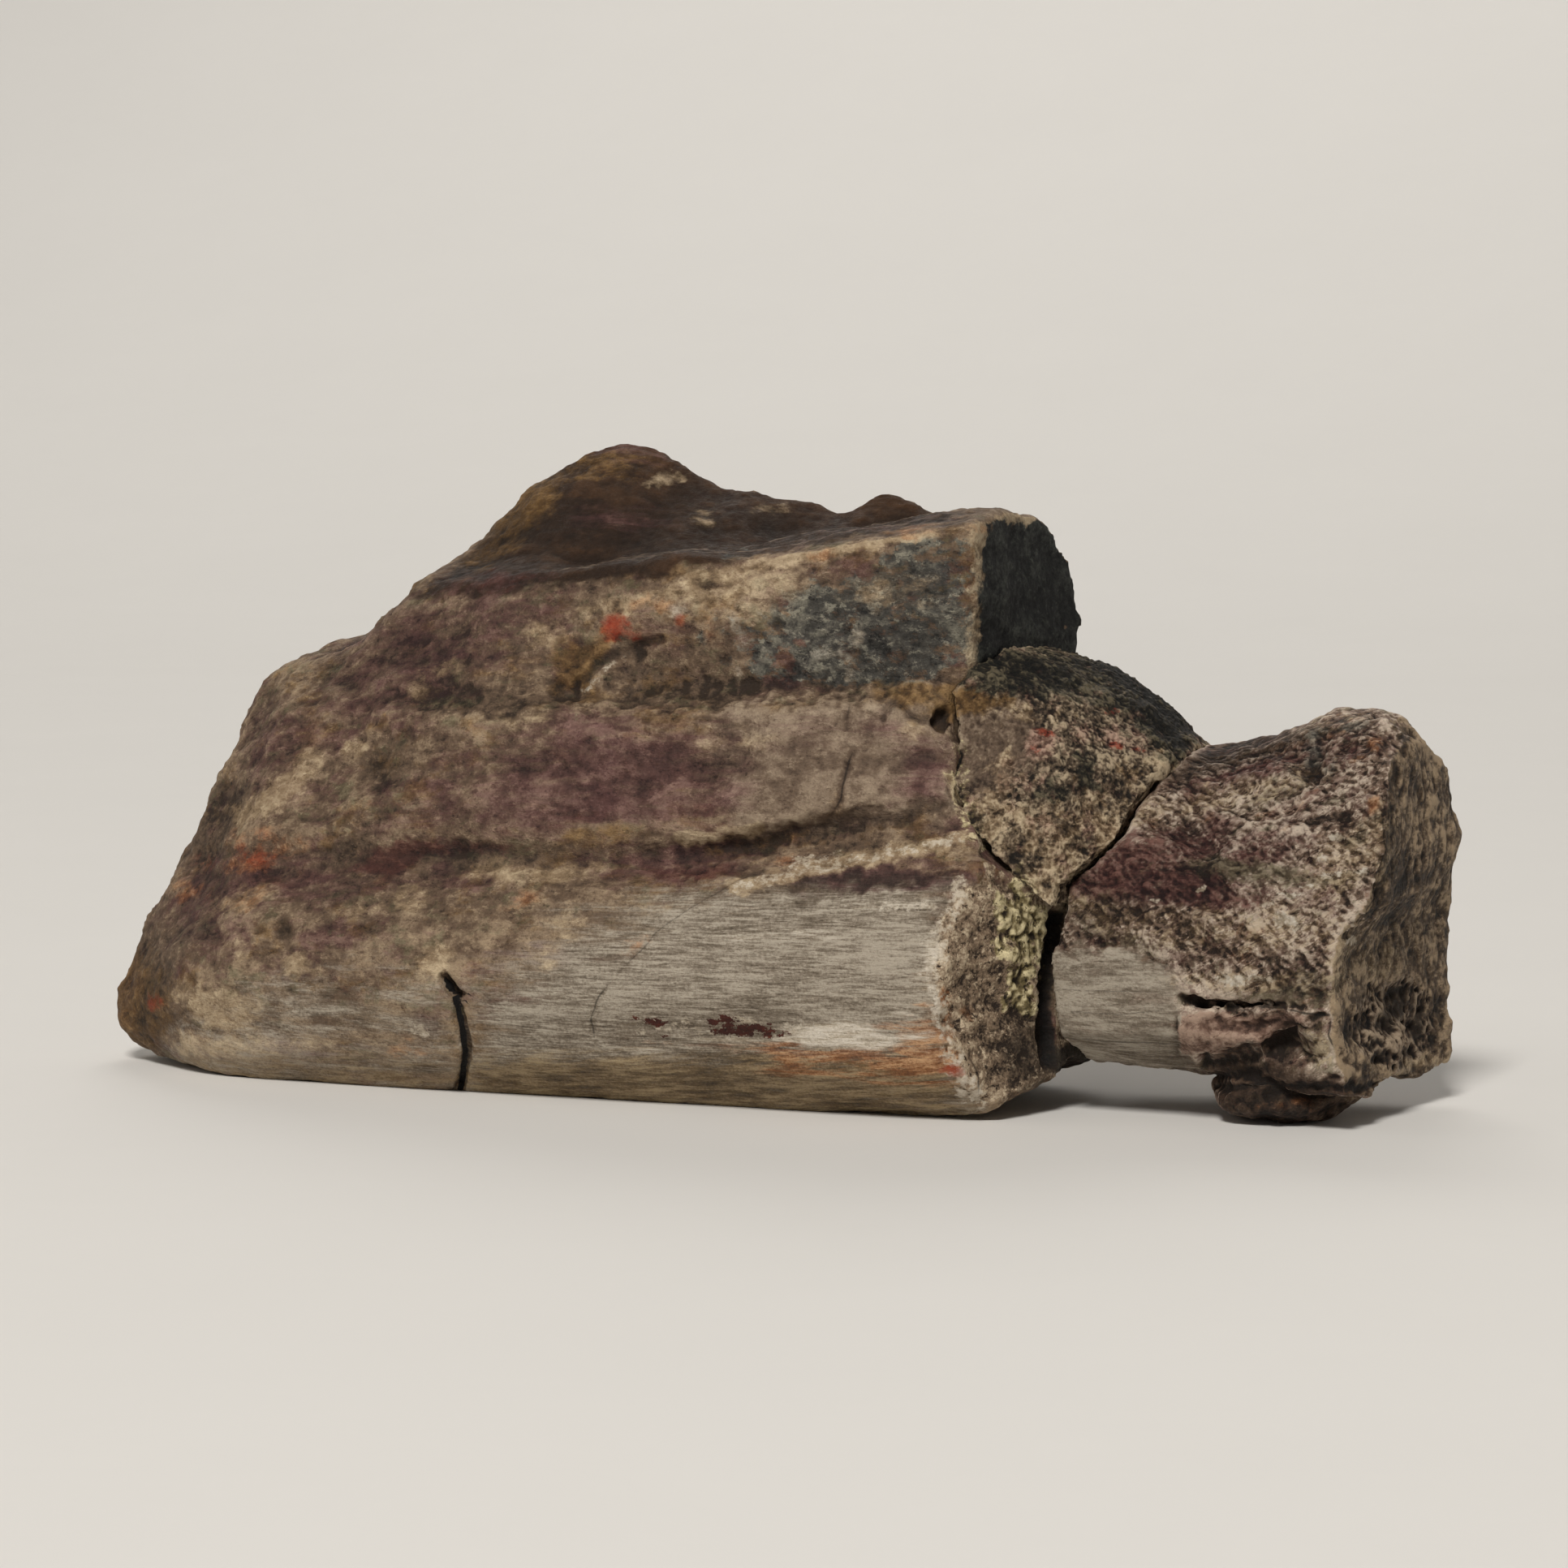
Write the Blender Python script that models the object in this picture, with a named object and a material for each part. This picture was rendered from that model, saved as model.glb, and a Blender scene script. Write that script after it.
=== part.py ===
"""Fossil rib bone in its matrix, broken across and fitted together again.

Three solids: the long rib block, the wedge fragment in the notch and the end block.
The rib runs along X, the front is towards -Y, and Z = 0 is the surface that the fossil lies on.
The design values are millimetres. The meshes are made in metres.
"""
import bmesh
import bpy
import numpy as np
from mathutils import Vector, noise

MM = 0.001

# Driving dimensions, in millimetres
CRACK_GAP = 0.8
GROUND_DEPTH = 20.0
GROUND_REACH = 120.0
ORIGIN = (0.34, 0.22, 0.0)

# Cutters reach this far to the right, upwards and to each side, in this many layers
FAR = 60.0
ABOVE = 80.0
CUT_DEPTH = 42.0
CUT_LAYERS = 22

# Rings along each lofted stone
RIB_STATIONS = 58
END_STATIONS = 22
BONE_STATIONS = 18
WEDGE_STATIONS = 16

# End caps: their rings, how far they shrink along the middle, their roughness, and how far the
# left end swells
CAP_RINGS = 4
CAP_SPINE = 0.7
CAP_ROUGHNESS = 0.6
LEFT_END_SWELL = 3.0

# Broken-stone noise: the size of its lumps and how far they stand out at full roughness
COARSE_LUMPS = 11.0
COARSE_RISE = 1.6
FINE_LUMPS = 5.0
FINE_RISE = 0.8
FINE_SHIFT = Vector((31.0, 7.0, 3.0))
CAST_LUMPS = 1.7

# How a crack wanders: how far, over what height and what depth
WANDER = 0.9
WANDER_HEIGHT = 6.0
WANDER_DEPTH = 7.0
WANDER_SHIFT = 4.0

SHARP_ANGLE = 0.7

# Each rail is a line along the stone: its name, the ring steps to the next rail, its roughness
# and its points. A ring of the stone joins all rails at the same share of their length.
RIB_BLOCK_RAILS = [
    ("front foot", 1, 0.15,
     [(-77.5, -8.8, 2.2), (-66, -15.5, 0.3), (-48, -17, -0.4), (-31, -18, -0.4), (-10, -18, -0.5),
      (8, -18.5, -0.4), (24, -19.4, 0.4), (32, -20.2, 1.0), (36, -20.4, 1.8), (40, -19, 3.4),
      (48, -17, 6.4)]),
    ("low flank", 1, 0.15,
     [(-80, -9, 4.4), (-66, -18, 3.6), (-45, -22, 4.4), (-28, -23.2, 4.8), (7, -24.6, 5.4),
      (34, -24.8, 6.0), (48, -22, 9.5)]),
    ("belly", 2, 0.1,
     [(-82, -6.5, 7.0), (-75, -13, 8.5), (-66, -19, 10), (-45, -24, 11), (-28, -26, 12),
      (7, -27, 13.5), (34, -27, 15), (48, -26, 16)]),
    ("upper belly", 2, 0.1,
     [(-80, -5, 13.5), (-66, -17.5, 16), (-45, -23, 18), (-28, -25.3, 19), (7, -26, 20.5),
      (34, -26, 23), (48, -25, 24)]),
    ("rib top", 2, 0.15,
     [(-76, -5, 21), (-60, -16, 22), (-45, -19.5, 23), (-30, -21.5, 24.4), (6, -22.5, 26.8),
      (21, -22.8, 28.4), (34, -23, 30), (48, -22, 32)]),
    ("furrow", 1, 0.25,
     [(-73, -4, 26), (-60, -12.5, 27), (-50, -15, 27.6), (-31, -18, 28.4), (-1, -18.6, 29.8),
      (14, -18.4, 32.2), (32, -19, 34.2), (48, -18, 36)]),
    ("slab foot", 2, 0.5,
     [(-72.5, -3, 29), (-60, -12, 30), (-50, -15, 30.4), (-31, -18.6, 31), (-1, -20, 32.4),
      (14, -20, 34.8), (32, -19.6, 37.5), (48, -18, 39)]),
    ("slab middle", 2, 0.65,
     [(-70, -1, 36), (-60, -7, 37), (-50, -10.5, 38), (-32, -16, 38.6), (3, -18, 40), (19, -18, 41),
      (31, -17, 42), (48, -15, 42)]),
    ("ledge lip", 1, 0.6,
     [(-68, 2, 42), (-60, -3, 44), (-45, -9.5, 44.5), (-32, -14, 45), (-12, -15.5, 46.4),
      (3, -16, 47.4), (18, -16, 47.2), (30, -15, 46.8), (48, -13, 47)]),
    ("ledge step", 2, 0.5,
     [(-67, 4, 45.3), (-60, 1, 47.5), (-45, -6.5, 48), (-32, -11.4, 47.6), (-12, -12.6, 48.2),
      (3, -13, 49), (18, -13, 49), (30, -12.5, 49.2), (48, -11, 49.5)]),
    ("upper face", 2, 0.7,
     [(-65, 5.5, 47.5), (-55, 2, 51), (-45, -2.5, 54), (-33, -7, 55), (-12, -11, 56), (3, -12, 57),
      (18, -11.5, 57), (30, -10, 57), (48, -9, 56)]),
    ("upper edge", 2, 0.6,
     [(-62, 7, 49.3), (-52.5, 5, 52.2), (-44.7, 2.5, 58.4), (-33.4, -3, 60.3), (-21, -7, 62.2),
      (-9.5, -9.3, 63), (1.6, -10.6, 63.2), (15, -8, 62), (30, -6, 60), (48, -5, 56)]),
    ("saddle", 2, 0.8,
     [(-61, 8.5, 50.2), (-53, 8, 52.8), (-46, 7, 59), (-38, 5, 61.5), (-21, 1, 62.8), (-5, 0, 63.8),
      (10, 2, 64.5), (30, 2, 62), (48, 3, 57)]),
    ("hump face", 1, 0.9,
     [(-60, 10.5, 50.8), (-54, 11, 53), (-45, 11, 60.5), (-38, 10.5, 66), (-30, 10, 70.2),
      (-21, 9.5, 71), (-5, 8, 68), (10, 9, 67.5), (20, 9, 66), (30, 8, 64), (48, 8, 58)]),
    ("hump crest", 1, 0.5,
     [(-59, 13, 50.3), (-55, 13, 52), (-48, 13.5, 58.4), (-40, 14.5, 65.1), (-35, 15, 71.5),
      (-29.7, 15.5, 74.8), (-23, 15.5, 76.2), (-15.6, 15.5, 75), (-4.6, 14.5, 71.4), (3, 14, 70),
      (8, 13.5, 68.9), (10.6, 14, 70.4), (17.4, 14, 69.8), (20.6, 13, 67.9), (30, 12, 65),
      (48, 12, 58)]),
    ("back shoulder", 2, 0.9,
     [(-58, 16, 47), (-48, 18.5, 53), (-38, 21.5, 63), (-23, 22.5, 69.5), (-5, 21.5, 65),
      (10, 20.5, 63), (20, 19.5, 61), (30, 18, 59), (48, 16, 54)]),
    ("upper back", 2, 1.1,
     [(-63, 14, 41), (-56, 19, 41), (-45, 23.5, 47), (-23, 26.5, 57), (0, 25.5, 53), (20, 24, 51),
      (34, 22.5, 48), (48, 19, 46)]),
    ("back ledge", 1, 0.7,
     [(-65, 13, 37), (-56, 19.5, 36), (-45, 24.5, 40), (-23, 27, 45), (0, 26.5, 44), (20, 25, 41),
      (34, 22.5, 38), (48, 19, 36)]),
    ("under the back ledge", 2, 0.7,
     [(-66, 12, 34), (-56, 17, 34), (-45, 21, 37), (-23, 23, 41.5), (0, 22.5, 40.5), (20, 22.5, 38),
      (34, 21, 36), (48, 18, 34)]),
    ("middle back", 2, 1.1,
     [(-70, 10, 26), (-58, 18.5, 27), (-45, 23.5, 29), (-23, 26, 31), (0, 26.5, 30), (20, 25.5, 29),
      (34, 22, 28), (48, 18, 28)]),
    ("low back", 2, 1.0,
     [(-80, 2.5, 11.5), (-70, 11, 12.5), (-57, 17.5, 12.5), (-45, 20.5, 12), (-23, 24, 13),
      (0, 24.5, 12), (20, 22, 11.5), (34, 18.5, 12), (48, 12, 14)]),
    ("back foot", 2, 0.5,
     [(-79.5, 0.5, 4.2), (-68, 7, 1.4), (-55, 12.5, -0.2), (-45, 13.5, -0.6), (-23, 18, -0.8),
      (0, 18.5, -0.6), (20, 16.5, 0.6), (34, 12, 3.6), (48, 6, 6)]),
    ("underside", 2, 0.6,
     [(-79, -3.8, 2.6), (-68, -3, 0.9), (-58, -2, 0.1), (-48, -2, -0.4), (-30, 0, 0.1),
      (4, 0, -0.3), (20, -2, 0.2), (34, -6, 4.0), (48, -8, 6.5)]),
]

SECOND_BONE_RAILS = [
    ("front lower edge", 1, 0.2,
     [(-9, -11.5, 51), (3, -12.8, 50.4), (18, -13, 50.6), (31.5, -12.2, 51.6)]),
    ("front face", 1, 0.3,
     [(-9, -11.5, 57), (3, -13, 57), (18, -13.4, 57.5), (31.8, -12.8, 58)]),
    ("front upper edge", 1, 0.2,
     [(-9, -9, 62.5), (3, -11, 63.6), (18, -12, 66.2), (31.8, -12, 68.2)]),
    ("top front", 2, 0.25,
     [(-9, -5, 62), (3, -7.5, 64.6), (18, -8, 67.4), (32.6, -8.5, 69.2)]),
    ("top back", 1, 0.3,
     [(-9, 4, 62), (3, 5, 64), (18, 6, 66.6), (35, 6, 68.6)]),
    ("back shoulder", 2, 0.3,
     [(-9, 8, 60), (3, 10, 61), (18, 12, 62.4), (37, 10.5, 63.5)]),
    ("back lower edge", 1, 0.3,
     [(-9, 8, 52), (3, 10, 51), (18, 12.5, 51), (37.6, 11.5, 52.4)]),
    ("underside", 2, 0.2,
     [(-9, -2, 50), (3, -2, 49.4), (18, -1, 49.6), (34.6, 0, 51.6)]),
]

WEDGE_RAILS = [
    ("front low", 1, 0.3,
     [(24, -20.5, 22), (34, -21, 22), (44, -18.5, 22), (50, -14, 24), (58, -8, 30)]),
    ("front middle", 2, 0.5,
     [(24, -19, 33), (34, -19.6, 33), (41, -18.2, 33), (48, -14.5, 33), (58, -7, 36)]),
    ("front upper", 2, 0.5,
     [(24, -16, 42), (34, -16.5, 42), (41, -15.5, 42.5), (48, -11, 40.6), (58, -4, 39.5)]),
    ("brow", 2, 0.5,
     [(24, -13.2, 51.6), (34, -12.8, 51), (41, -10.4, 49), (48, -6, 45), (58, 0, 40.8)]),
    ("top", 2, 0.4,
     [(24, 2, 54), (34, 3, 53.6), (41, 3, 51.8), (46, 4, 49), (51.5, 5, 44.8), (58, 6, 39.8)]),
    ("back brow", 2, 0.6,
     [(24, 14, 52), (34, 14, 51.4), (41, 13.5, 50), (48, 12.5, 45.6), (58, 11, 38.6)]),
    ("back", 2, 0.6,
     [(24, 20, 40), (34, 19.5, 38), (44, 18.5, 35), (58, 16, 30)]),
    ("back low", 2, 0.5,
     [(24, 18, 22), (34, 18, 22), (44, 16, 22), (58, 14, 24)]),
]

END_BLOCK_RAILS = [
    ("front foot", 1, 0.15,
     [(38, -8, 6.6), (50, -10, 6.2), (60, -11, 6), (68, -13.4, 5.2), (76, -15.6, 4.4),
      (88, -15, 4.6)]),
    ("stub belly", 2, 0.1,
     [(38, -13, 9.5), (50, -14.8, 10.2), (58, -15.8, 10.6), (66, -16.5, 10.8), (76, -17.8, 11.6),
      (88, -16, 12)]),
    ("stub middle", 2, 0.1,
     [(38, -14, 15), (50, -15.8, 15.4), (58, -16.8, 15.8), (66, -17.4, 16), (76, -18.4, 17),
      (88, -17, 18)]),
    ("shoulder", 2, 0.35,
     [(38, -14, 21), (50, -16, 22.5), (60, -16.4, 24), (70, -16.6, 25), (79, -16.4, 26),
      (88, -15.5, 26.5)]),
    ("face", 2, 0.6,
     [(38, -14.5, 26.4), (50, -13.2, 32), (60, -12.2, 32), (71, -12.4, 34), (81, -13.6, 34),
      (88, -13, 34.5)]),
    ("brow", 2, 0.6,
     [(38, -12, 31), (52, -8.5, 38), (60, -6, 39.2), (69, -6, 41), (79.5, -9, 42), (88, -9, 41)]),
    ("crest", 2, 0.6,
     [(38, 4, 38), (55, 6, 41.8), (60, 6, 43.2), (66.6, 4, 44.6), (72.4, 4, 46.6), (79, 5, 46),
      (82, 6, 42.4), (88, 6, 38)]),
    ("back brow", 2, 0.8,
     [(38, 13, 36), (56, 14.5, 38.4), (66, 15.5, 41), (76, 15.5, 41.4), (88, 14.5, 37)]),
    ("back", 2, 1.0,
     [(38, 17, 24), (56, 18.5, 25), (66, 19.5, 25), (76, 18, 25), (88, 17, 25)]),
    ("low back", 1, 0.6,
     [(38, 14, 9), (56, 16, 9), (66, 16.5, 8.6), (76, 15.5, 8.6), (88, 15.5, 9)]),
    ("back foot", 2, 0.4,
     [(38, 10, 6), (56, 12, 5.8), (66, 12.5, 5.4), (76, 13.5, 4.8), (88, 14.5, 5.0)]),
    ("underside", 2, 0.3,
     [(38, 0, 6), (56, 0, 5.4), (66, -1, 5), (76, -2, 5), (88, -2, 5.6)]),
]

# Cracks between the pieces, as outlines in X and Z
CRACK_A = [(29.2, 49.2), (31.2, 39.6), (33.4, 34.6), (36.0, 31.4), (39.4, 28.4), (41.6, 26.0),
           (43.6, 23.2)]
CRACK_B = [(44.0, 23.4), (44.8, 27.4), (47.6, 30.4), (50.0, 32.9), (51.0, 35.4), (52.6, 38.8),
           (56.5, 43.5)]
BONE_UNDERSIDE = [(31.0, 50.8), (31.0, ABOVE)]
WEDGE_TIP_RISE = 1.6
WEDGE_RIGHT = 56.0

# The break across the rib, X at a place in Y, and how far each side of it lies back at a height
RIB_BREAK = [(-42, 25.0), (-27, 33.8), (-21, 37.4), (-15, 41.2), (-8, 43.6), (0, 44.2), (9, 43.2),
             (20, 41.0), (42, 40.0)]
RIB_SIDE = [(-6, 0.2), (2, 0.0), (7, -0.8), (13, -1.4), (19, -0.6), (24, 0.0), (31.4, 0.4)]
STUB_SIDE = [(-6, 2.2), (5, 2.0), (12, 1.7), (19, 1.2), (23.3, 0.8)]

# The end face: X at the front and X at the back of the block, at a height
END_FACE = [(-6, 77.4, 82.4), (8, 77.0, 82.2), (12, 76.4, 81.5), (20, 76.2, 81.2), (23, 77.2, 81.4),
            (26, 80.0, 81.8), (32, 81.4, 82.4), (42, 80.4, 81.8), (56, 77.0, 81.0)]
END_FACE_FRONT = -18.0
END_FACE_BACK = 14.0

# Lumps and hollows: centre, size and unevenness
LEFT_NUB = ((-76.7, -4.0, 5.9), (4.9, 6.2, 5.2), 0.2)
FOOT_FLAKE = ((67.6, -5.2, 3.2), (8.0, 9.4, 3.5), 0.25)
END_HOLLOWS = {
    "recess under the ledge": ((66.2, -20.4, 12.2), (8.4, 4.6, 2.9), 0.15),
    "slit under the ledge": ((63.6, -17.8, 14.7), (5.6, 2.9, 0.7), 0.2),
    "scoop above the flake": ((71.2, -20.2, 9.2), (5.4, 5.8, 3.6), 0.15),
    "spongy hollow": ((84.6, -6.0, 13.0), (3.2, 5.4, 4.2), 0.25),
}
RIB_HOLLOWS = {
    "hollow at the red stain": ((-12.2, -13.4, 50.2), (2.0, 1.9, 1.8), 0.3),
    "groove at the red stain": ((-8.6, -12.8, 54.4), (3.4, 1.5, 0.8), 0.3),
    "hollow at the crack top": ((29.2, -15.4, 46.4), (1.2, 2.6, 1.6), 0.3),
}

# Flat breaks across the back: a place on each and the direction that it faces
BACK_BREAKS = {
    "break low on the back": ((-25.0, 24.2, 24.0), (-0.12, 0.98, -0.14)),
    "break behind the rib's end": ((22.0, 22.6, 22.0), (0.22, 0.97, 0.1)),
    "break behind the hump": ((-22.0, 24.5, 58.0), (-0.15, 0.9, 0.4)),
    "break behind the saddle": ((20.0, 21.0, 55.0), (0.2, 0.95, 0.25)),
    "break behind the left end": ((-62.0, 13.0, 20.0), (-0.5, 0.86, 0.05)),
}

# The cleft across the rib shaft: X, Z and half width, from its top down
RIB_CLEFT = [(-28.9, 15.4, 0.15), (-28.0, 12.6, 0.6), (-27.0, 9.2, 0.5), (-26.5, 6.4, 0.45),
             (-27.2, 3.0, 0.5), (-28.6, 0.4, 1.1), (-28.8, -2.0, 1.3)]
RIB_CLEFT_DEPTHS = (-34.0, -20.0)


def clear_scene():
    """Remove what the file starts with."""
    for item in list(bpy.data.objects):
        bpy.data.objects.remove(item)


def stone_material(name, colour, roughness):
    """A plain stone or bone finish."""
    finish = bpy.data.materials.new(name)
    finish.use_nodes = True
    shader = finish.node_tree.nodes["Principled BSDF"]
    shader.inputs["Base Color"].default_value = (*colour, 1.0)
    shader.inputs["Roughness"].default_value = roughness
    shader.inputs["Metallic"].default_value = 0.0
    return finish


def smooth_values(knots, values, places):
    """A smooth curve through the values at the knots, read at the places."""
    spans = np.diff(knots)[:, None]
    slopes = np.diff(values, axis=0) / spans
    inner = (slopes[:-1] * spans[1:] + slopes[1:] * spans[:-1]) / (spans[:-1] + spans[1:])
    tangents = np.vstack([slopes[:1], inner, slopes[-1:]])
    at = np.clip(np.searchsorted(knots, places, side="right") - 1, 0, len(knots) - 2)
    share = ((places - knots[at]) / (knots[at + 1] - knots[at]))[:, None]
    rest = 1 - share
    start = rest ** 2 * ((1 + 2 * share) * values[at] + share * spans[at] * tangents[at])
    end = share ** 2 * ((1 + 2 * rest) * values[at + 1] - rest * spans[at] * tangents[at + 1])
    return start + end


def rail_lines(rails, stations):
    """Points of every rail at equal shares of its own length in X."""
    lines = []
    shares = np.linspace(0.0, 1.0, stations)
    for _, _, _, points in rails:
        points = np.array(points, float)
        places = points[0, 0] + shares * (points[-1, 0] - points[0, 0])
        lines.append(np.column_stack([places, smooth_values(points[:, 0], points[:, 1:], places)]))
    return np.array(lines)


def closed_ring(corners, steps, roughness):
    """A smooth closed ring through the corners, with the given steps to each next corner."""
    count = len(corners)
    around = np.vstack([corners[-2:], corners, corners[:3]])
    chords = np.linalg.norm(np.diff(around, axis=0), axis=1)
    knots = np.concatenate([[0.0], np.cumsum(chords)])
    places = []
    weights = []
    for corner in range(count):
        start, end = knots[corner + 2], knots[corner + 3]
        for step in range(steps[corner]):
            share = step / steps[corner]
            places.append(start + share * (end - start))
            weights.append((1 - share) * roughness[corner] + share * roughness[(corner + 1) % count])
    return smooth_values(knots, around, np.array(places)), np.array(weights)


def loft(rails, stations):
    """Rings of points along the rails, with the roughness of each point."""
    lines = rail_lines(rails, stations)
    steps = [rail[1] for rail in rails]
    roughness = [rail[2] for rail in rails]
    rings = []
    weights = []
    for station in range(stations):
        ring, weight = closed_ring(lines[:, station], steps, roughness)
        rings.append(ring)
        weights.append(weight)
    return rings, weights


def cap_rings(ring, outwards, swell):
    """Rings that shrink from an end ring to the line along its middle, and swell out of its plane."""
    centre = ring.mean(axis=0)
    axes = np.linalg.svd(ring - centre)[2]
    along = (ring - centre) @ axes[0]
    reach = CAP_SPINE * np.abs(along).max()
    middle = centre + np.clip(along, -reach, reach)[:, None] * axes[0]
    normal = axes[2] * np.sign(axes[2] @ outwards)
    shares = 1.0 - np.arange(1, CAP_RINGS) / CAP_RINGS
    return [middle + (ring - middle) * share + swell * (1.0 - share ** 2) * normal for share in shares]


def capped_mesh(rings, weights, swell):
    """Bridge the rings and close both ends, as a bmesh in millimetres."""
    start_cap = cap_rings(rings[0], np.array([-1.0, 0.0, 0.0]), swell)
    end_cap = cap_rings(rings[-1], np.array([1.0, 0.0, 0.0]), 0.0)
    cap_weights = [np.full(len(rings[0]), CAP_ROUGHNESS)] * len(start_cap)
    rings = start_cap[::-1] + rings + end_cap
    weights = cap_weights + weights + cap_weights
    shape = bmesh.new()
    rough = shape.verts.layers.float.new("roughness")
    loops = []
    for ring, weight in zip(rings, weights):
        loop = [shape.verts.new(point) for point in ring]
        for corner, amount in zip(loop, weight):
            corner[rough] = amount
        loops.append(loop)
    for lower, upper in zip(loops, loops[1:]):
        for place in range(len(lower)):
            after = (place + 1) % len(lower)
            shape.faces.new((lower[place], lower[after], upper[after], upper[place]))
    shape.faces.new(loops[0])
    shape.faces.new(loops[-1])
    bmesh.ops.recalc_face_normals(shape, faces=shape.faces)
    return shape, rough


def roughen(shape, rough):
    """Move each point along its normal by broken-stone noise, as far as its roughness lets it."""
    shape.normal_update()
    moves = []
    for corner in shape.verts:
        coarse = COARSE_RISE * noise.noise(corner.co / COARSE_LUMPS)
        fine = FINE_RISE * noise.noise(corner.co / FINE_LUMPS + FINE_SHIFT)
        moves.append(corner.normal * corner[rough] * (coarse + fine))
    for corner, move in zip(shape.verts, moves):
        corner.co += move


def stone_object(name, shape, finish=None):
    """An object in metres from a bmesh in millimetres."""
    bmesh.ops.translate(shape, vec=-Vector(ORIGIN), verts=shape.verts)
    bmesh.ops.scale(shape, vec=(MM, MM, MM), verts=shape.verts)
    bmesh.ops.recalc_face_normals(shape, faces=shape.faces)
    mesh = bpy.data.meshes.new(name)
    shape.to_mesh(mesh)
    shape.free()
    body = bpy.data.objects.new(name, mesh)
    bpy.context.collection.objects.link(body)
    if finish:
        mesh.materials.append(finish)
        mesh.shade_smooth()
        mesh.set_sharp_from_angle(angle=SHARP_ANGLE)
    else:
        body.hide_render = True
        body.display_type = "WIRE"
    return body


def lofted_stone(name, rails, stations, finish=None, swell=0.0):
    """A rough stone lofted along its rails. The swell rounds its left end."""
    rings, weights = loft(rails, stations)
    shape, rough = capped_mesh(rings, weights, swell)
    roughen(shape, rough)
    return stone_object(name, shape, finish)


def grown(body, distance):
    """Move the surface of a hidden solid outwards."""
    step = body.modifiers.new("grown", "DISPLACE")
    step.strength = distance * MM
    step.mid_level = 0.0
    return body


def cut(body, cutter, operation="DIFFERENCE"):
    """Combine a stone with a hidden solid."""
    step = body.modifiers.new(cutter.name, "BOOLEAN")
    step.operation = operation
    step.solver = "EXACT"
    step.object = cutter


def break_place(depth, height, side):
    """X of one side of the break across the rib, at a depth in Y and a height in Z."""
    places = np.array(RIB_BREAK, float)
    levels = np.array(side, float)
    return np.interp(depth, places[:, 0], places[:, 1]) + np.interp(height, levels[:, 0], levels[:, 1])


def ragged(points, depth, shift):
    """An outline at a depth in Y, moved along X. Both sides of a crack wander in the same way."""
    outline = []
    for across, height in points:
        place = Vector((height / WANDER_HEIGHT, depth / WANDER_DEPTH, WANDER_SHIFT))
        outline.append((across + shift + WANDER * noise.noise(place), height))
    return outline


def layered_prism(name, depths, outline_at):
    """A hidden solid whose outline in X and Z changes with the depth in Y."""
    shape = bmesh.new()
    loops = []
    for depth in depths:
        loops.append([shape.verts.new((across, depth, height)) for across, height in outline_at(depth)])
    for lower, upper in zip(loops, loops[1:]):
        for place in range(len(lower)):
            after = (place + 1) % len(lower)
            shape.faces.new((lower[place], lower[after], upper[after], upper[place]))
    shape.faces.new(loops[0])
    shape.faces.new(loops[-1])
    return stone_object(name, shape)


def past_rib_break(depth):
    """What the rib block loses past the break across the rib."""
    side = [(break_place(depth, height, RIB_SIDE), height) for height, _ in RIB_SIDE]
    return side + [(FAR, side[-1][1]), (FAR, side[0][1])]


def past_first_crack(depth):
    """What the rib block loses past the first crack and under the second bone's free end."""
    side = ragged(reversed(CRACK_A), depth, 0.0)
    return side + BONE_UNDERSIDE + [(FAR, ABOVE), (FAR, CRACK_A[-1][1])]


def before_end_block(depth):
    """What the end block loses on its left, up to the break and the second crack."""
    side = [(break_place(depth, height, STUB_SIDE), height) for height, _ in STUB_SIDE]
    crack = ragged(CRACK_B, depth, CRACK_GAP / 2)
    return side[:-1] + crack + [(FAR, FAR), (0.0, FAR), (0.0, side[0][1])]


def past_end_face(depth):
    """What the end block loses past its flat end face."""
    share = (depth - END_FACE_FRONT) / (END_FACE_BACK - END_FACE_FRONT)
    side = [(front + share * (back - front), height) for height, front, back in END_FACE]
    return ragged(side, depth, 0.0) + [(2 * FAR, FAR), (2 * FAR, side[0][1])]


def wedge_space(depth):
    """The notch that the wedge fragment fills, clear of both blocks."""
    left = ragged(CRACK_A, depth, CRACK_GAP)
    right = ragged(CRACK_B, depth, -CRACK_GAP / 2)
    tip = ((left[-1][0] + right[0][0]) / 2, left[-1][1] + WEDGE_TIP_RISE)
    under_bone = BONE_UNDERSIDE[0][0] + CRACK_GAP
    top = [(WEDGE_RIGHT, FAR), (under_bone, FAR), (under_bone, BONE_UNDERSIDE[0][1])]
    return left[:-1] + [tip] + right[1:] + top


def cleft_blade(name):
    """A thin ragged blade that follows the cleft across the rib."""
    left = [(x - half, z) for x, z, half in RIB_CLEFT]
    right = [(x + half, z) for x, z, half in reversed(RIB_CLEFT)]
    return layered_prism(name, RIB_CLEFT_DEPTHS, lambda depth: left + right)


def ground_box(name):
    """Everything below the surface that the fossil lies on."""
    shape = bmesh.new()
    bmesh.ops.create_cube(shape, size=1.0)
    size = (2 * GROUND_REACH, 2 * GROUND_REACH, GROUND_DEPTH)
    bmesh.ops.scale(shape, vec=size, verts=shape.verts)
    bmesh.ops.translate(shape, vec=(0.0, 0.0, -GROUND_DEPTH / 2), verts=shape.verts)
    return stone_object(name, shape)


def broken_face(name, place, facing):
    """Everything past a flat break."""
    shape = bmesh.new()
    bmesh.ops.create_cube(shape, size=2 * FAR)
    turn = Vector(facing).to_track_quat("Z", "Y").to_matrix()
    bmesh.ops.translate(shape, vec=(0.0, 0.0, FAR), verts=shape.verts)
    bmesh.ops.rotate(shape, matrix=turn, verts=shape.verts)
    bmesh.ops.translate(shape, vec=place, verts=shape.verts)
    return stone_object(name, shape)


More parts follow.
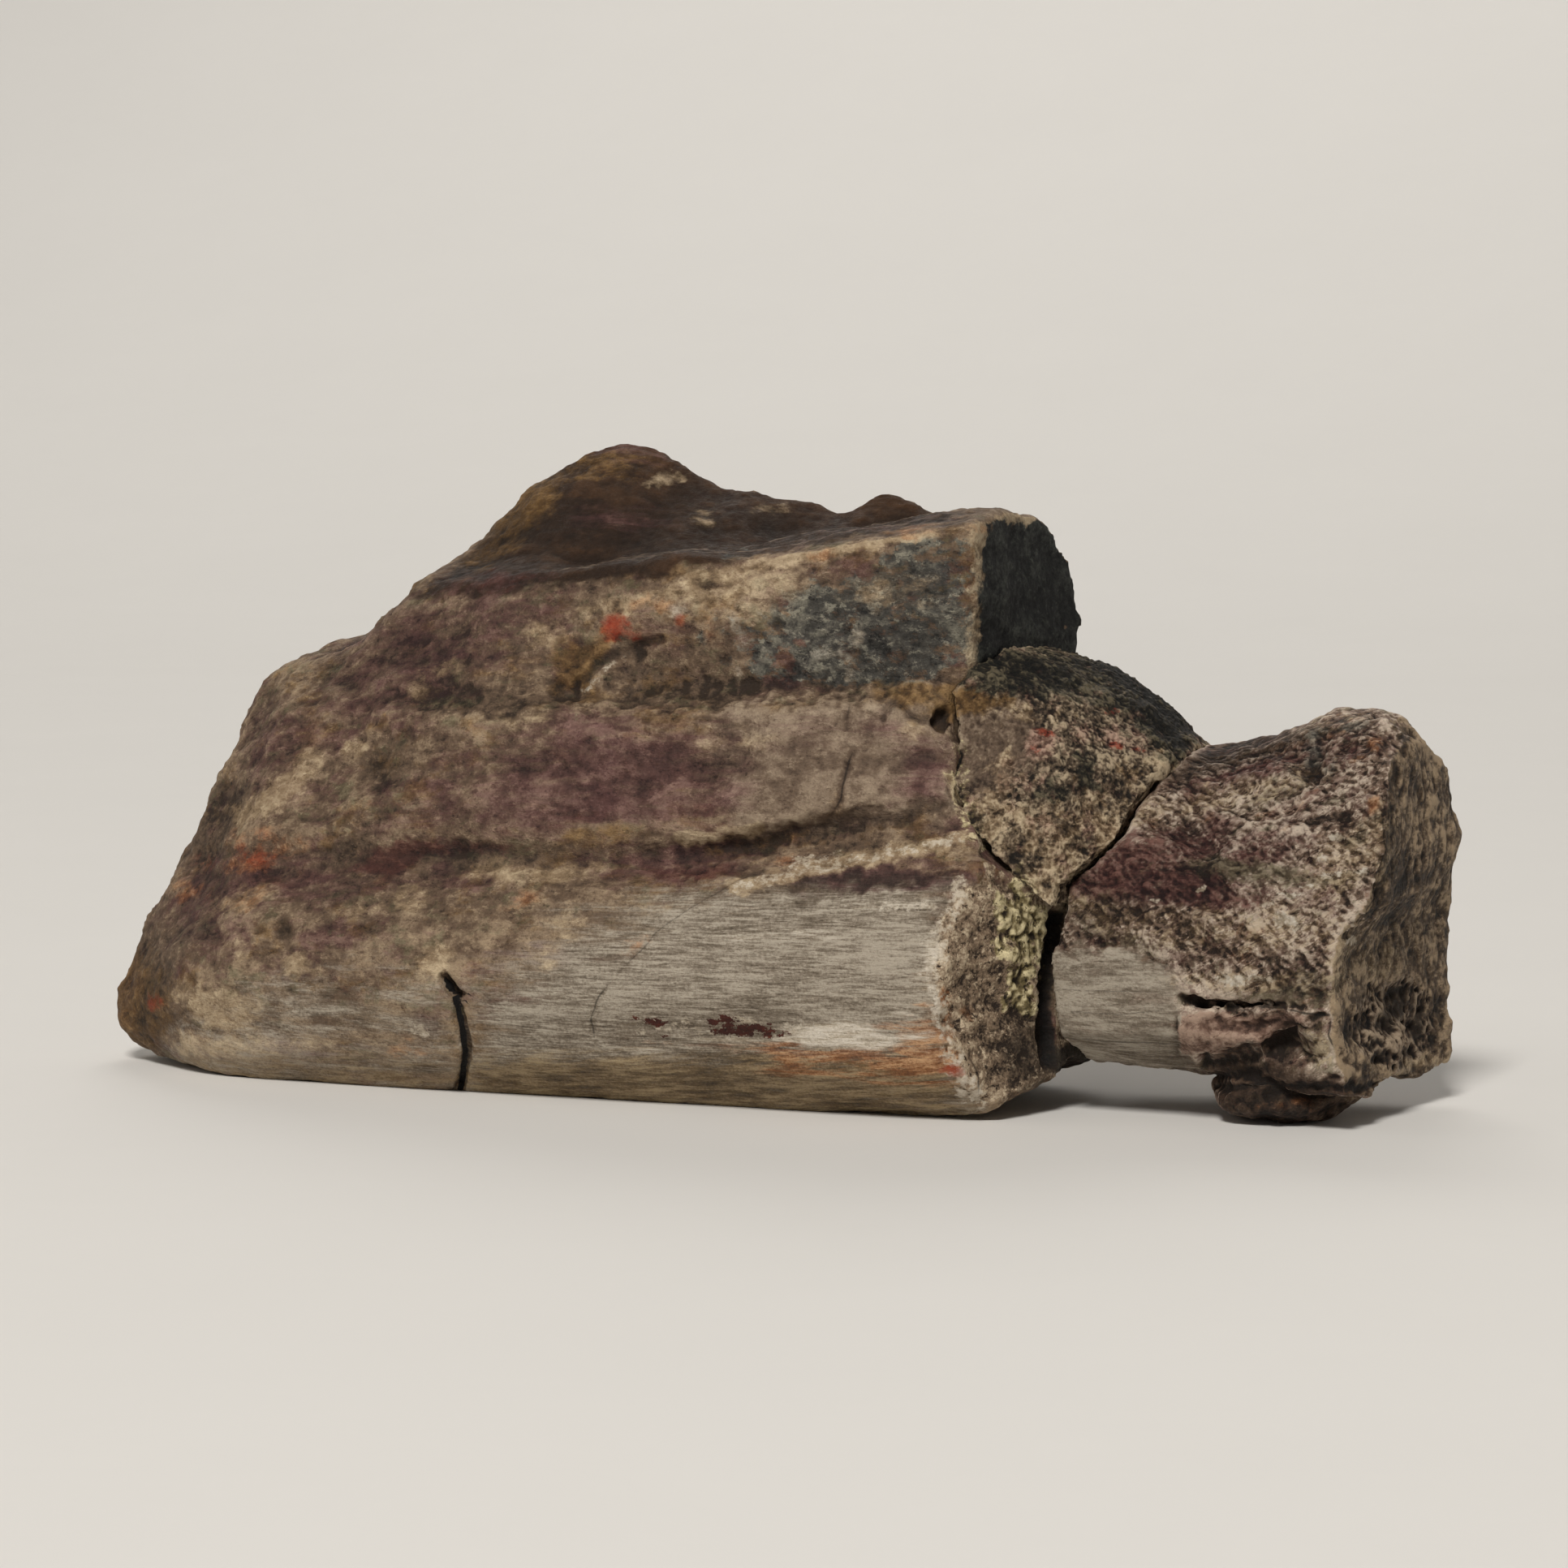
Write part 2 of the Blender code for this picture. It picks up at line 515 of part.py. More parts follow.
def lump(name, centre, size, unevenness):
    """A rounded lump or hollow, made uneven by noise."""
    shape = bmesh.new()
    bmesh.ops.create_icosphere(shape, subdivisions=3, radius=1.0)
    for corner in shape.verts:
        corner.co *= 1.0 + unevenness * noise.noise(corner.co * CAST_LUMPS + Vector(centre))
        corner.co = Vector(centre) + corner.co * Vector(size)
    return stone_object(name, shape)


def build():
    """Make the three pieces."""
    clear_scene()
    rib_finish = stone_material("weathered rib and matrix", (0.30, 0.26, 0.23), 0.75)
    wedge_finish = stone_material("speckled matrix", (0.27, 0.24, 0.20), 0.85)
    end_finish = stone_material("dusty bone end", (0.26, 0.22, 0.19), 0.8)

    rib_block = lofted_stone("rib_block", RIB_BLOCK_RAILS, RIB_STATIONS, rib_finish, LEFT_END_SWELL)
    wedge = lofted_stone("wedge_fragment", WEDGE_RAILS, WEDGE_STATIONS, wedge_finish)
    end_block = lofted_stone("end_block", END_BLOCK_RAILS, END_STATIONS, end_finish)

    depths = np.linspace(-CUT_DEPTH, CUT_DEPTH, CUT_LAYERS)
    ground = ground_box("ground")
    cut(rib_block, lump("nub at the left tip", *LEFT_NUB), "UNION")
    cut(rib_block, ground)
    cut(rib_block, layered_prism("space past the rib break", depths, past_rib_break))
    cut(rib_block, layered_prism("space past the first crack", depths, past_first_crack))
    cut(rib_block, lofted_stone("second bone form", SECOND_BONE_RAILS, BONE_STATIONS), "UNION")
    cut(rib_block, cleft_blade("cleft across the rib"))
    for name, hollow in RIB_HOLLOWS.items():
        cut(rib_block, lump(name, *hollow))
    for name, face in BACK_BREAKS.items():
        cut(rib_block, broken_face(name, *face))

    cut(wedge, layered_prism("notch for the wedge", depths, wedge_space), "INTERSECT")
    bone_clearance = lofted_stone("second bone clearance", SECOND_BONE_RAILS, BONE_STATIONS)
    cut(wedge, grown(bone_clearance, CRACK_GAP / 2))

    cut(end_block, layered_prism("space left of the end block", depths, before_end_block))
    cut(end_block, layered_prism("space past the end face", depths, past_end_face))
    cut(end_block, lump("foot flake form", *FOOT_FLAKE), "UNION")
    for name, hollow in END_HOLLOWS.items():
        cut(end_block, lump(name, *hollow))
    cut(end_block, ground)


build()
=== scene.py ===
# %% [markdown]
# This lesson finishes a length of fossil rib that still lies in its rock.
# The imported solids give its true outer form, with facets a few millimetres long.
# Here each solid becomes a fine stone skin: remeshed, smoothed where the bone is smooth, sculpted
# in code where it is cracked or crusted, and then painted with masks that a node material reads.

import math
from types import SimpleNamespace

import bpy
import numpy as np
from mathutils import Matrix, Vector
from mathutils.bvhtree import BVHTree


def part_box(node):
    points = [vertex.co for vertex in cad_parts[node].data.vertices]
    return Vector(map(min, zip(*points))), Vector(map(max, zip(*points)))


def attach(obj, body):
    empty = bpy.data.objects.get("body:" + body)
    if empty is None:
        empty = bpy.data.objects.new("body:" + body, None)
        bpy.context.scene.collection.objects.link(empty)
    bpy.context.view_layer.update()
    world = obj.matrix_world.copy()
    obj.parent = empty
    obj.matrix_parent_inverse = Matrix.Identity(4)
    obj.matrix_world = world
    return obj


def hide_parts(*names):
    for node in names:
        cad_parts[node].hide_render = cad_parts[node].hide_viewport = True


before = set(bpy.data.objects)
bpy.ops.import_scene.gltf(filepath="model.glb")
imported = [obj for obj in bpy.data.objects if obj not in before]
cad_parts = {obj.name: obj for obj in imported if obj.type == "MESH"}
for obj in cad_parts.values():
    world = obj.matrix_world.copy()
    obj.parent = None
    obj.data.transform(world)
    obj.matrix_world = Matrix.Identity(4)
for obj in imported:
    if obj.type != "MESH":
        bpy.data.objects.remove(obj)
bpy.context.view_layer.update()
for name in sorted(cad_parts):
    low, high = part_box(name)
    print(name, [round(1000 * size, 1) for size in high - low], "mm")

# %% [markdown]
# The camera comes first, because marks on the stone are placed by where the photograph shows them.
# The picture is a close view with a long lens, a little from the right and a little from above.
# Every later cell that names a pixel means this picture, 1932 pixels wide and high.

# %% Camera
PICTURE = 1932
LENS = 120.0
SENSOR = 36.0
CAMERA_TURN = math.radians(20)
CAMERA_RISE = math.radians(5)
CAMERA_AWAY = 0.627
CAMERA_AIM = Vector((0.00396, -0.00022, 0.0364))

backward = Vector((
    math.sin(CAMERA_TURN) * math.cos(CAMERA_RISE),
    -math.cos(CAMERA_TURN) * math.cos(CAMERA_RISE),
    math.sin(CAMERA_RISE),
))
rightward = Vector((math.cos(CAMERA_TURN), math.sin(CAMERA_TURN), 0.0))
upward = backward.cross(rightward)

bpy.ops.object.select_all(action="DESELECT")
bpy.ops.object.camera_add(location=CAMERA_AIM + backward * CAMERA_AWAY)
camera = bpy.context.object
camera.name = "photo_camera"
camera.rotation_euler = (-backward).to_track_quat("-Z", "Y").to_euler()
camera.data.lens = LENS
camera.data.sensor_width = SENSOR
camera.data.clip_start = 0.01
camera.data.clip_end = 10.0
bpy.context.scene.camera = camera
print("one pixel is", round(1000 * CAMERA_AWAY * SENSOR / LENS / PICTURE, 3), "mm at the stone")

# %% [markdown]
# Broken stone never repeats, so its relief and stains come from noise that is worked out in code.
# Gradient noise gives every corner of a grid its own slope and blends between the slopes.
# It has no random draw in it, so the stone is the same on each run. Each call takes a seed, because
# two noises with one seed would rise and fall together.

# %% Noise
HASH_X, HASH_Y, HASH_Z, HASH_SEED, HASH_MIX = 73856093, 19349663, 83492791, 2654435761, 1274126177
NOISE_TO_ONE = 1.7
ROUGH_TO_ONE = 1.3


def hashed(x, y, z, seed):
    """A whole number for a grid corner that looks like chance."""
    number = (x * HASH_X) ^ (y * HASH_Y) ^ (z * HASH_Z) ^ (seed * HASH_SEED)
    number = (number ^ (number >> 13)) * HASH_MIX
    return number ^ (number >> 16)


def slopes(number):
    """The three slopes of a grid corner, each from -1 to 1, cut from one whole number."""
    return np.stack([((number >> shift) & 1023) / 511.5 - 1 for shift in (0, 10, 20)], 1)


def noise(points, seed=0):
    """Gradient noise, about -1 to 1, with lumps about as large as the unit of the points."""
    cell = np.floor(points).astype(np.int64)
    inside = points - cell
    ease = inside ** 3 * (inside * (inside * 6 - 15) + 10)
    total = np.zeros(len(points))
    for corner in np.ndindex(2, 2, 2):
        number = hashed(*(cell + corner).T, seed)
        weight = np.prod(np.where(corner, ease, 1 - ease), axis=1)
        total += weight * (slopes(number) * (inside - corner)).sum(1)
    return np.clip(total * NOISE_TO_ONE, -1, 1)


def rough(points, size, seed=0, layers=3):
    """Noise in layers, each half as large and half as strong, with lumps of a size in millimetres."""
    total = sum(noise(points / size * 2 ** k, seed + k) / 2 ** k for k in range(layers))
    return total / sum(0.5 ** k for k in range(layers)) * ROUGH_TO_ONE


def cells(points, seed=0):
    """The distance from each point to the nearest of a set of scattered seeds, one in each unit cube."""
    cell = np.floor(points).astype(np.int64)
    inside = points - cell
    nearest = np.full(len(points), 9.0)
    for corner in np.ndindex(3, 3, 3):
        shift = np.array(corner) - 1
        scattered = (slopes(hashed(*(cell + shift).T, seed)) + 1) / 2
        nearest = np.minimum(nearest, ((inside - shift - scattered) ** 2).sum(1))
    return np.sqrt(nearest)


def terraces(value, step, sharp=0.25):
    """A height field cut into ledges: it rises by a whole step at a time, with a short slope between."""
    level = value / step
    return step * (np.floor(level) + smooth_step(0.5 - sharp, 0.5 + sharp, level - np.floor(level)))


def smooth_step(low, high, value):
    """0 below low, 1 above high, and an even ramp between."""
    share = np.clip((value - low) / (high - low), 0, 1)
    return share * share * (3 - 2 * share)


# %% [markdown]
# A stone skin starts as a copy of its solid. The copy is loose triangles, so its doubles are merged
# first. A voxel remesh then gives it small even faces, and a Smooth modifier takes out the facets.
# Sculpting by hand would follow here in a window. The same moves are made in code: every vertex is
# pushed along its normal by a height field.

# %% Stone skins
MERGE = 1e-7
PIECE_TRIANGLES = 196000
FLOOR_CLEAR = 0.02
FOOT_KEPT = 0.2


def only(piece):
    """Selects one piece and nothing else, as a click in the viewport does."""
    bpy.ops.object.select_all(action="DESELECT")
    bpy.context.view_layer.objects.active = piece
    piece.select_set(True)


def apply_modifier(piece, kind, **settings):
    """Adds a modifier, sets it and applies it."""
    only(piece)
    modifier = piece.modifiers.new(kind, kind)
    for name, value in settings.items():
        setattr(modifier, name, value)
    bpy.ops.object.modifier_apply(modifier=modifier.name)


def stone_skin(name, node, voxel):
    """A closed skin of even faces, in the place of a solid."""
    skin = bpy.data.objects.new(name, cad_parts[node].data.copy())
    bpy.context.scene.collection.objects.link(skin)
    skin.data.materials.clear()
    only(skin)
    bpy.ops.object.mode_set(mode="EDIT")
    bpy.ops.mesh.select_all(action="SELECT")
    bpy.ops.mesh.remove_doubles(threshold=MERGE)
    bpy.ops.object.mode_set(mode="OBJECT")
    apply_modifier(skin, "REMESH", mode="VOXEL", voxel_size=voxel)
    print(name, "has", len(skin.data.polygons), "faces")
    return skin


def study(skin):
    """Where each vertex is in millimetres, which way it faces, and the pixel that shows it."""
    count = len(skin.data.vertices)
    place = np.empty(count * 3, np.float32)
    normal = np.empty(count * 3, np.float32)
    skin.data.vertices.foreach_get("co", place)
    skin.data.vertices.foreach_get("normal", normal)
    place = place.reshape(-1, 3).astype(float)
    normal = normal.reshape(-1, 3).astype(float)
    from_camera = place - np.array(camera.location)
    depth = -(from_camera @ np.array(backward))
    pixels = LENS / SENSOR * PICTURE
    mm = 1000 * place
    facing = normal @ np.array(backward)
    return SimpleNamespace(
        mm=mm,
        x=mm[:, 0],
        y=mm[:, 1],
        z=mm[:, 2],
        normal=normal,
        u=PICTURE / 2 + pixels * (from_camera @ np.array(rightward)) / depth,
        v=PICTURE / 2 - pixels * (from_camera @ np.array(upward)) / depth,
        toward=smooth_step(0.02, 0.25, facing),
        away=1 - smooth_step(-0.15, 0.15, facing),
        wander_u=noise(mm / 2.6, 11) + 0.6 * noise(mm / 0.9, 12),
        wander_v=noise(mm / 2.6, 13) + 0.6 * noise(mm / 0.9, 14),
    )


def push(skin, look, height):
    """Moves each vertex along its normal by a height in millimetres."""
    moved = look.mm + look.normal * height[:, None]
    skin.data.vertices.foreach_set("co", (moved / 1000).astype(np.float32).ravel())
    skin.data.update()


def smooth(skin, passes, weight=None):
    """Relaxes the skin, only where a weight says when one is given."""
    settings = {"factor": 0.5, "iterations": passes}
    if weight is not None:
        group = skin.vertex_groups.new(name="smooth")
        steps = np.round(weight * 10).astype(int)
        for step in range(1, 11):
            group.add(np.flatnonzero(steps == step).tolist(), step / 10, "REPLACE")
        settings["vertex_group"] = group.name
    apply_modifier(skin, "SMOOTH", **settings)
    skin.vertex_groups.clear()


def lighten(skin):
    """Takes triangles out where the skin is flat, and lifts what lies under the floor onto it."""
    triangles = sum(len(face.vertices) - 2 for face in skin.data.polygons)
    if triangles > PIECE_TRIANGLES:
        apply_modifier(skin, "DECIMATE", ratio=PIECE_TRIANGLES / triangles)
    place = np.empty(len(skin.data.vertices) * 3, np.float32)
    skin.data.vertices.foreach_get("co", place)
    place[2::3] = np.maximum(place[2::3], FLOOR_CLEAR / 1000)
    skin.data.vertices.foreach_set("co", place)
    skin.data.update()
    print(skin.name, "keeps", len(skin.data.polygons), "faces")


# %% [markdown]
# The pieces fit each other across cracks less than a millimetre wide. A relief that grew across a
# crack would close it, so every vertex near a neighbour may only rise by a share of the gap there.
# Where lime has crusted over a crack, both sides lean across it until they meet.

# %% Room in the cracks
NEAR = 0.004
FAR = 99.0
OPEN_SHARE = 0.3
CRUSTED_SHARE = 0.6
CRUSTED_REACH = 2.0


def gaps_to(look, neighbours):
    """The way from each vertex to the nearest neighbouring solid, in millimetres."""
    gap = np.full((len(look.mm), 3), FAR)
    for node in neighbours:
        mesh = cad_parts[node].data
        tree = BVHTree.FromPolygons([v.co for v in mesh.vertices], [p.vertices for p in mesh.polygons])
        low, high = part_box(node)
        low = 1000 * (np.array(low) - NEAR)
        high = 1000 * (np.array(high) + NEAR)
        for index in np.flatnonzero(((look.mm > low) & (look.mm < high)).all(1)):
            place, _, _, distance = tree.find_nearest(Vector(look.mm[index] / 1000), NEAR)
            if place is not None and 1000 * distance < np.linalg.norm(gap[index]):
                gap[index] = 1000 * np.array(place) - look.mm[index]
    return gap


def fit_to_cracks(look, height, neighbours):
    """Holds the height back beside open cracks, and leans the skin across those crusted over."""
    gap = gaps_to(look, neighbours)
    distance = np.linalg.norm(gap, axis=1)
    crusted = most(*(line(look, points, 10, 10, 3, shown=False) for points in CRUSTED_CRACKS))
    crusted *= smooth_step(CRUSTED_REACH, CRUSTED_REACH / 2, distance)
    look.mm += gap * CRUSTED_SHARE * crusted[:, None]
    print("crusted over:", int((crusted > 0.5).sum()), "vertices")
    return np.where(crusted > 0.5, height, np.minimum(height, OPEN_SHARE * distance))


# %% [markdown]
# Marks are drawn through the camera, as when a painter projects a brush stroke onto a model.
# A line, a patch and an area are each a mask: 1 where the mark is, 0 where it is not.
# The wander shifts the mask's edge by a few pixels of noise, so that no edge looks drawn.

# %% Marks through the camera


def to_path(u, v, points, closed=False):
    """The distance from pixels to a path, with a sign for the side, and whether they lie inside it."""
    nearest = np.full(len(u), 1e6)
    side = np.zeros(len(u))
    inside = np.zeros(len(u), bool)
    ends = points[1:] + points[:1] if closed else points[1:]
    for (u0, v0), (u1, v1) in zip(points, ends):
        run_u, run_v = u1 - u0, v1 - v0
        share = np.clip(((u - u0) * run_u + (v - v0) * run_v) / (run_u ** 2 + run_v ** 2), 0, 1)
        distance = np.hypot(u - u0 - share * run_u, v - v0 - share * run_v)
        closer = distance < nearest
        nearest = np.where(closer, distance, nearest)
        side = np.where(closer, np.sign((u - u0) * run_v - (v - v0) * run_u), side)
        if closed and v0 != v1:
            inside ^= ((v0 > v) != (v1 > v)) & (u < u0 + (v - v0) / run_v * run_u)
    return nearest, side, inside


def line(look, points, width, fade=4.0, wander=3.0, shown=True):
    """A mask along a line through pixels of the photograph."""
    distance = to_path(look.u + wander * look.wander_u, look.v + wander * look.wander_v, points)[0]
    return (1 - smooth_step(width / 2, width / 2 + fade, distance)) * (look.toward if shown else 1)


def patch(look, spot, edge=0.8, wander=8.0):
    """A mask in the shape of an oval: its middle pixel, half width, half height, turn and strength."""
    middle_u, middle_v, half_u, half_v, turn, strength = spot
    u = look.u - middle_u + wander * look.wander_u
    v = look.v - middle_v + wander * look.wander_v
    angle = math.radians(turn)
    along = (u * math.cos(angle) - v * math.sin(angle)) / half_u
    across = (u * math.sin(angle) + v * math.cos(angle)) / half_v
    return (1 - smooth_step(1 - edge, 1 + edge, np.hypot(along, across))) * strength * look.toward


def area(look, outline, fade=10.0, wander=8.0):
    """A mask inside an outline of pixels."""
    u, v = look.u + wander * look.wander_u, look.v + wander * look.wander_v
    nearest, _, inside = to_path(u, v, outline, closed=True)
    return smooth_step(-fade / 2, fade / 2, np.where(inside, nearest, -nearest)) * look.toward


def most(*masks):
    """The strongest of several masks at each vertex."""
    return np.maximum.reduce(masks)


def patches(look, spots, edge=0.8, wander=8.0):
    """One mask of many soft ovals, where overlapping ones add up."""
    clear = np.ones(len(look.u))
    for spot in spots:
        clear *= 1 - patch(look, spot, edge, wander)
    return 1 - clear


def keep_mask(skin, name, values):
    """Stores a mask on the skin, where the material finds it by its name."""
    mask = skin.data.attributes.get(name) or skin.data.attributes.new(name, "FLOAT", "POINT")
    mask.data.foreach_set("value", np.clip(values, 0, 1).astype(np.float32))


def keep_masks(skin, masks):
    """Stores each of several masks under its name, and prints what share of the skin they stain."""
    for name, values in masks.items():
        keep_mask(skin, name, values)
    shares = {name: round(float(np.mean(values)), 2) for name, values in masks.items()}
    print(skin.name, "is stained with", shares)


# %% [markdown]
# A hairline is thinner than a face of the skin, so a mask would blur it. Its trick is to store how far
# each vertex is from the line, negative on one side. Between two vertices that number passes through
# zero exactly on the line, and the material draws the line there as thin as it likes.

# %% Hairlines
LINE_REACH = 16.0
LINE_TAPER = 14
LINE_TIP = 0.25


def keep_lines(skin, look, name, lines, wander=1.5):
    """Stores the signed distance to the nearest of many thin lines, and that line's half width."""
    u, v = look.u + wander * look.wander_u, look.v + wander * look.wander_v
    nearest = np.full(len(u), 1e6)
    side, width = np.zeros(len(u)), np.zeros(len(u))
    for points, half in lines:
        distance, sign, _ = to_path(u, v, points)
        (u0, v0), (u1, v1) = points[0], points[-1]
        ends = np.minimum(np.hypot(u - u0, v - v0), np.hypot(u - u1, v - v1))
        taper = smooth_step(0, LINE_TAPER, ends) * (1 - LINE_TIP) + LINE_TIP
        closer = distance < nearest
        nearest = np.where(closer, distance, nearest)
        side = np.where(closer, sign * distance / LINE_REACH, side)
        width = np.where(closer, half / LINE_REACH * taper, width)
    width = np.where(nearest < LINE_REACH / 2, width * look.toward, 0)
    keep_mask(skin, name + "_side", 0.5 + np.clip(side, -1, 1) / 2)
    keep_mask(skin, name + "_width", width)


# %% [markdown]
# The hollows are painted darker and each ridge paler: painted shade in the hollows and a painted highlight on
# the ridge tops.
# The skin is averaged with its neighbours a few times. What then lies under the average is a hollow.

# %% Painted shade in hollows, highlight on ridge tops
AVERAGING = 0.6
RIDGE_HIGHLIGHT_LIMIT = 0.4


def keep_hollow_shade(skin, look, name, passes, depth):
    """Stores painted shade and highlight: 0 in a hollow, 0.5 where level, up to 0.7 on a ridge, for a depth
    in millimetres.
    """
    ends = np.empty(len(skin.data.edges) * 2, np.int32)
    skin.data.edges.foreach_get("vertices", ends)
    first, second = ends[::2], ends[1::2]
    count = len(look.mm)
    neighbours = np.bincount(ends, minlength=count)[:, None]
    place = look.mm
    for _ in range(passes):
        beside = [np.bincount(first, place[second, k], count) + np.bincount(second, place[first, k], count)
                  for k in range(3)]
        place = (1 - AVERAGING) * place + AVERAGING * np.stack(beside, 1) / neighbours
    over = ((look.mm - place) * look.normal).sum(1)
    keep_mask(skin, name, 0.5 + 0.5 * np.clip(over / depth, -1, RIDGE_HIGHLIGHT_LIMIT))
    print(skin.name, name, "relief", round(float(over.std()), 3), "mm")


# %% [markdown]
# The colours are chosen, each for one thing on the stone, and written as screen colours.
# A renderer works in linear light, so each is converted once, here. Every stone has three shades, for its
# hollows, its level parts and its ridge tops: through the tone, the dark one gives painted shade in the
# hollows and the light one a painted highlight on the ridge tops.

# %% Colours


def screen(red, green, blue):
    """A screen colour, 0 to 255, as linear light."""
    shares = [level / 255 for level in (red, green, blue)]
    linear = [s / 12.92 if s <= 0.04045 else ((s + 0.055) / 1.055) ** 2.4 for s in shares]
    return (*linear, 1.0)


def shades(dark, middle, light):
    """Three screen colours as linear light."""
    return [screen(*dark), screen(*middle), screen(*light)]


GREY_BONE = shades((80, 69, 56), (131, 119, 103), (182, 171, 154))
OLIVE_BONE = shades((56, 44, 26), (118, 97, 68), (174, 152, 116))
GREY_ROCK = shades((50, 38, 28), (108, 88, 70), (172, 150, 122))
PALE_ROCK = shades((68, 53, 42), (116, 97, 80), (172, 153, 130))
MAUVE = shades((46, 26, 26), (89, 58, 55), (136, 102, 96))
MAROON = shades((36, 16, 14), (72, 36, 31), (112, 72, 62))
CREAM = shades((98, 77, 54), (157, 134, 104), (214, 193, 160))
OCHRE = shades((44, 30, 12), (98, 71, 36), (152, 118, 70))
RUST = shades((66, 34, 15), (138, 84, 44), (206, 158, 114))
RED = shades((66, 20, 9), (142, 44, 20), (168, 66, 36))
HUMP = shades((22, 13, 6), (48, 31, 17), (84, 57, 34))
BLUE = shades((22, 23, 22), (66, 66, 62), (140, 137, 122))
BLUE_END = shades((6, 6, 6), (20, 21, 20), (64, 66, 60))
BROKEN_END = shades((42, 31, 23), (146, 124, 101), (216, 197, 168))
CRUST = shades((32, 24, 11), (128, 114, 76), (236, 221, 176))
LIME = shades((150, 134, 112), (194, 180, 158), (230, 220, 204))
GREEN_ROCK = shades((46, 42, 28), (96, 88, 64), (146, 136, 108))
CHIP = shades((28, 22, 15), (100, 84, 67), (190, 171, 142))
# Dark green coating, which also serves as painted shade on the wedge's top.
GREEN_COAT_AND_SHADE = shades((10, 10, 7), (38, 35, 25), (104, 95, 74))
PINK_CHIP = shades((52, 32, 27), (126, 92, 79), (198, 163, 144))
FIBRES = shades((38, 27, 20), (130, 107, 90), (224, 206, 186))
PURPLE = shades((36, 15, 15), (78, 44, 40), (132, 92, 82))
OLIVE_STREAK = shades((32, 28, 18), (84, 74, 55), (138, 128, 102))
DUSTY_END = shades((28, 20, 13), (90, 73, 56), (176, 153, 124))
PINK_SHELF_TONE = shades((54, 37, 29), (116, 89, 75), (180, 153, 134))
SPONGE_TONE = shades((12, 8, 6), (82, 65, 51), (178, 158, 134))
FLAKE_RED = shades((26, 9, 5), (66, 23, 10), (116, 50, 24))
# Painted shade for cracks, pits, grooves, seams and the undersides of ledges.
CREVICE_SHADE = screen(34, 25, 16)
# Near black for the hairline cracks, and for the painted shadow in the gap beside the end block.
CRACK_AND_SHADOW_BLACK = screen(14, 11, 9)

# %% [markdown]
# Every finish here is built the same way. A tone, from dark to light, comes from layered noise, from the
# painted shade of hollows and painted highlight on ridge tops, and from painted light and painted shade. It
# runs through the three shades of the stone, and stains are laid over one after another, each with shades of
# its own, so that the mottling carries on through every stain.
# Image textures would be quicker, but a noise is as fine as the render needs, from any distance.

# %% Material helpers


def add(tree, kind, inputs=None, **settings):
    """Adds a node, with its settings and the values or wires of its inputs."""
    made = tree.nodes.new(kind)
    for name, value in settings.items():
        setattr(made, name, value)
    for name, value in (inputs or {}).items():
        if isinstance(value, bpy.types.NodeSocket):
            tree.links.new(value, made.inputs[name])
        else:
            made.inputs[name].default_value = value
    return made


def speckle(tree, size_mm, stretch=(1, 1, 1), turn=0, seed=0.0, detail=8.0, roughness=0.72, bend=0.0):
    """Layered noise with lumps of a size in millimetres, turned in the front face, then drawn out."""
    place = add(tree, "ShaderNodeTexCoord").outputs["Object"]
    turned = add(tree, "ShaderNodeMapping", {
        "Vector": place,
        "Rotation": (0, math.radians(turn), 0),
        "Location": (seed, seed, seed),
    })
    drawn = add(tree, "ShaderNodeMapping", {"Vector": turned.outputs[0], "Scale": [1 / s for s in stretch]})
    return add(tree, "ShaderNodeTexNoise", {
        "Vector": drawn.outputs[0],
        "Scale": 1000 / size_mm,
        "Detail": detail,
        "Roughness": roughness,
        "Distortion": bend,
    }).outputs[0]


def beads(tree, size_mm):
    """Round lumps side by side, 1 in their middles and 0 where they meet."""
    place = add(tree, "ShaderNodeTexCoord").outputs["Object"]
    settings = {"Vector": place, "Scale": 1000 / size_mm}
    lumps = add(tree, "ShaderNodeTexVoronoi", settings, feature="SMOOTH_F1")
    return sums(tree, "SUBTRACT", 1.0, lumps.outputs["Distance"])


def ramp(tree, value, low, high):
    """A value stretched so that low becomes 0 and high becomes 1, with soft ends."""
    return add(tree, "ShaderNodeMapRange", {"Value": value, "From Min": low, "From Max": high},
               interpolation_type="SMOOTHSTEP").outputs[0]


def sums(tree, kind, a, b):
    """Arithmetic on two values."""
    made = add(tree, "ShaderNodeMath", operation=kind)
    for socket, value in zip(made.inputs, (a, b)):
        if isinstance(value, bpy.types.NodeSocket):
            tree.links.new(value, socket)
        else:
            socket.default_value = value
    return made.outputs[0]


def blend(tree, share, under, over):
    """Two colours mixed by a share."""
    made = add(tree, "ShaderNodeMix", data_type="RGBA")
    for socket, value in zip((made.inputs[0], made.inputs[6], made.inputs[7]), (share, under, over)):
        if isinstance(value, bpy.types.NodeSocket):
            tree.links.new(value, socket)
        else:
            socket.default_value = value
    return made.outputs[2]


def painted(tree, name):
    """The mask that was stored on the skin under a name."""
    return add(tree, "ShaderNodeAttribute", attribute_name=name).outputs["Fac"]


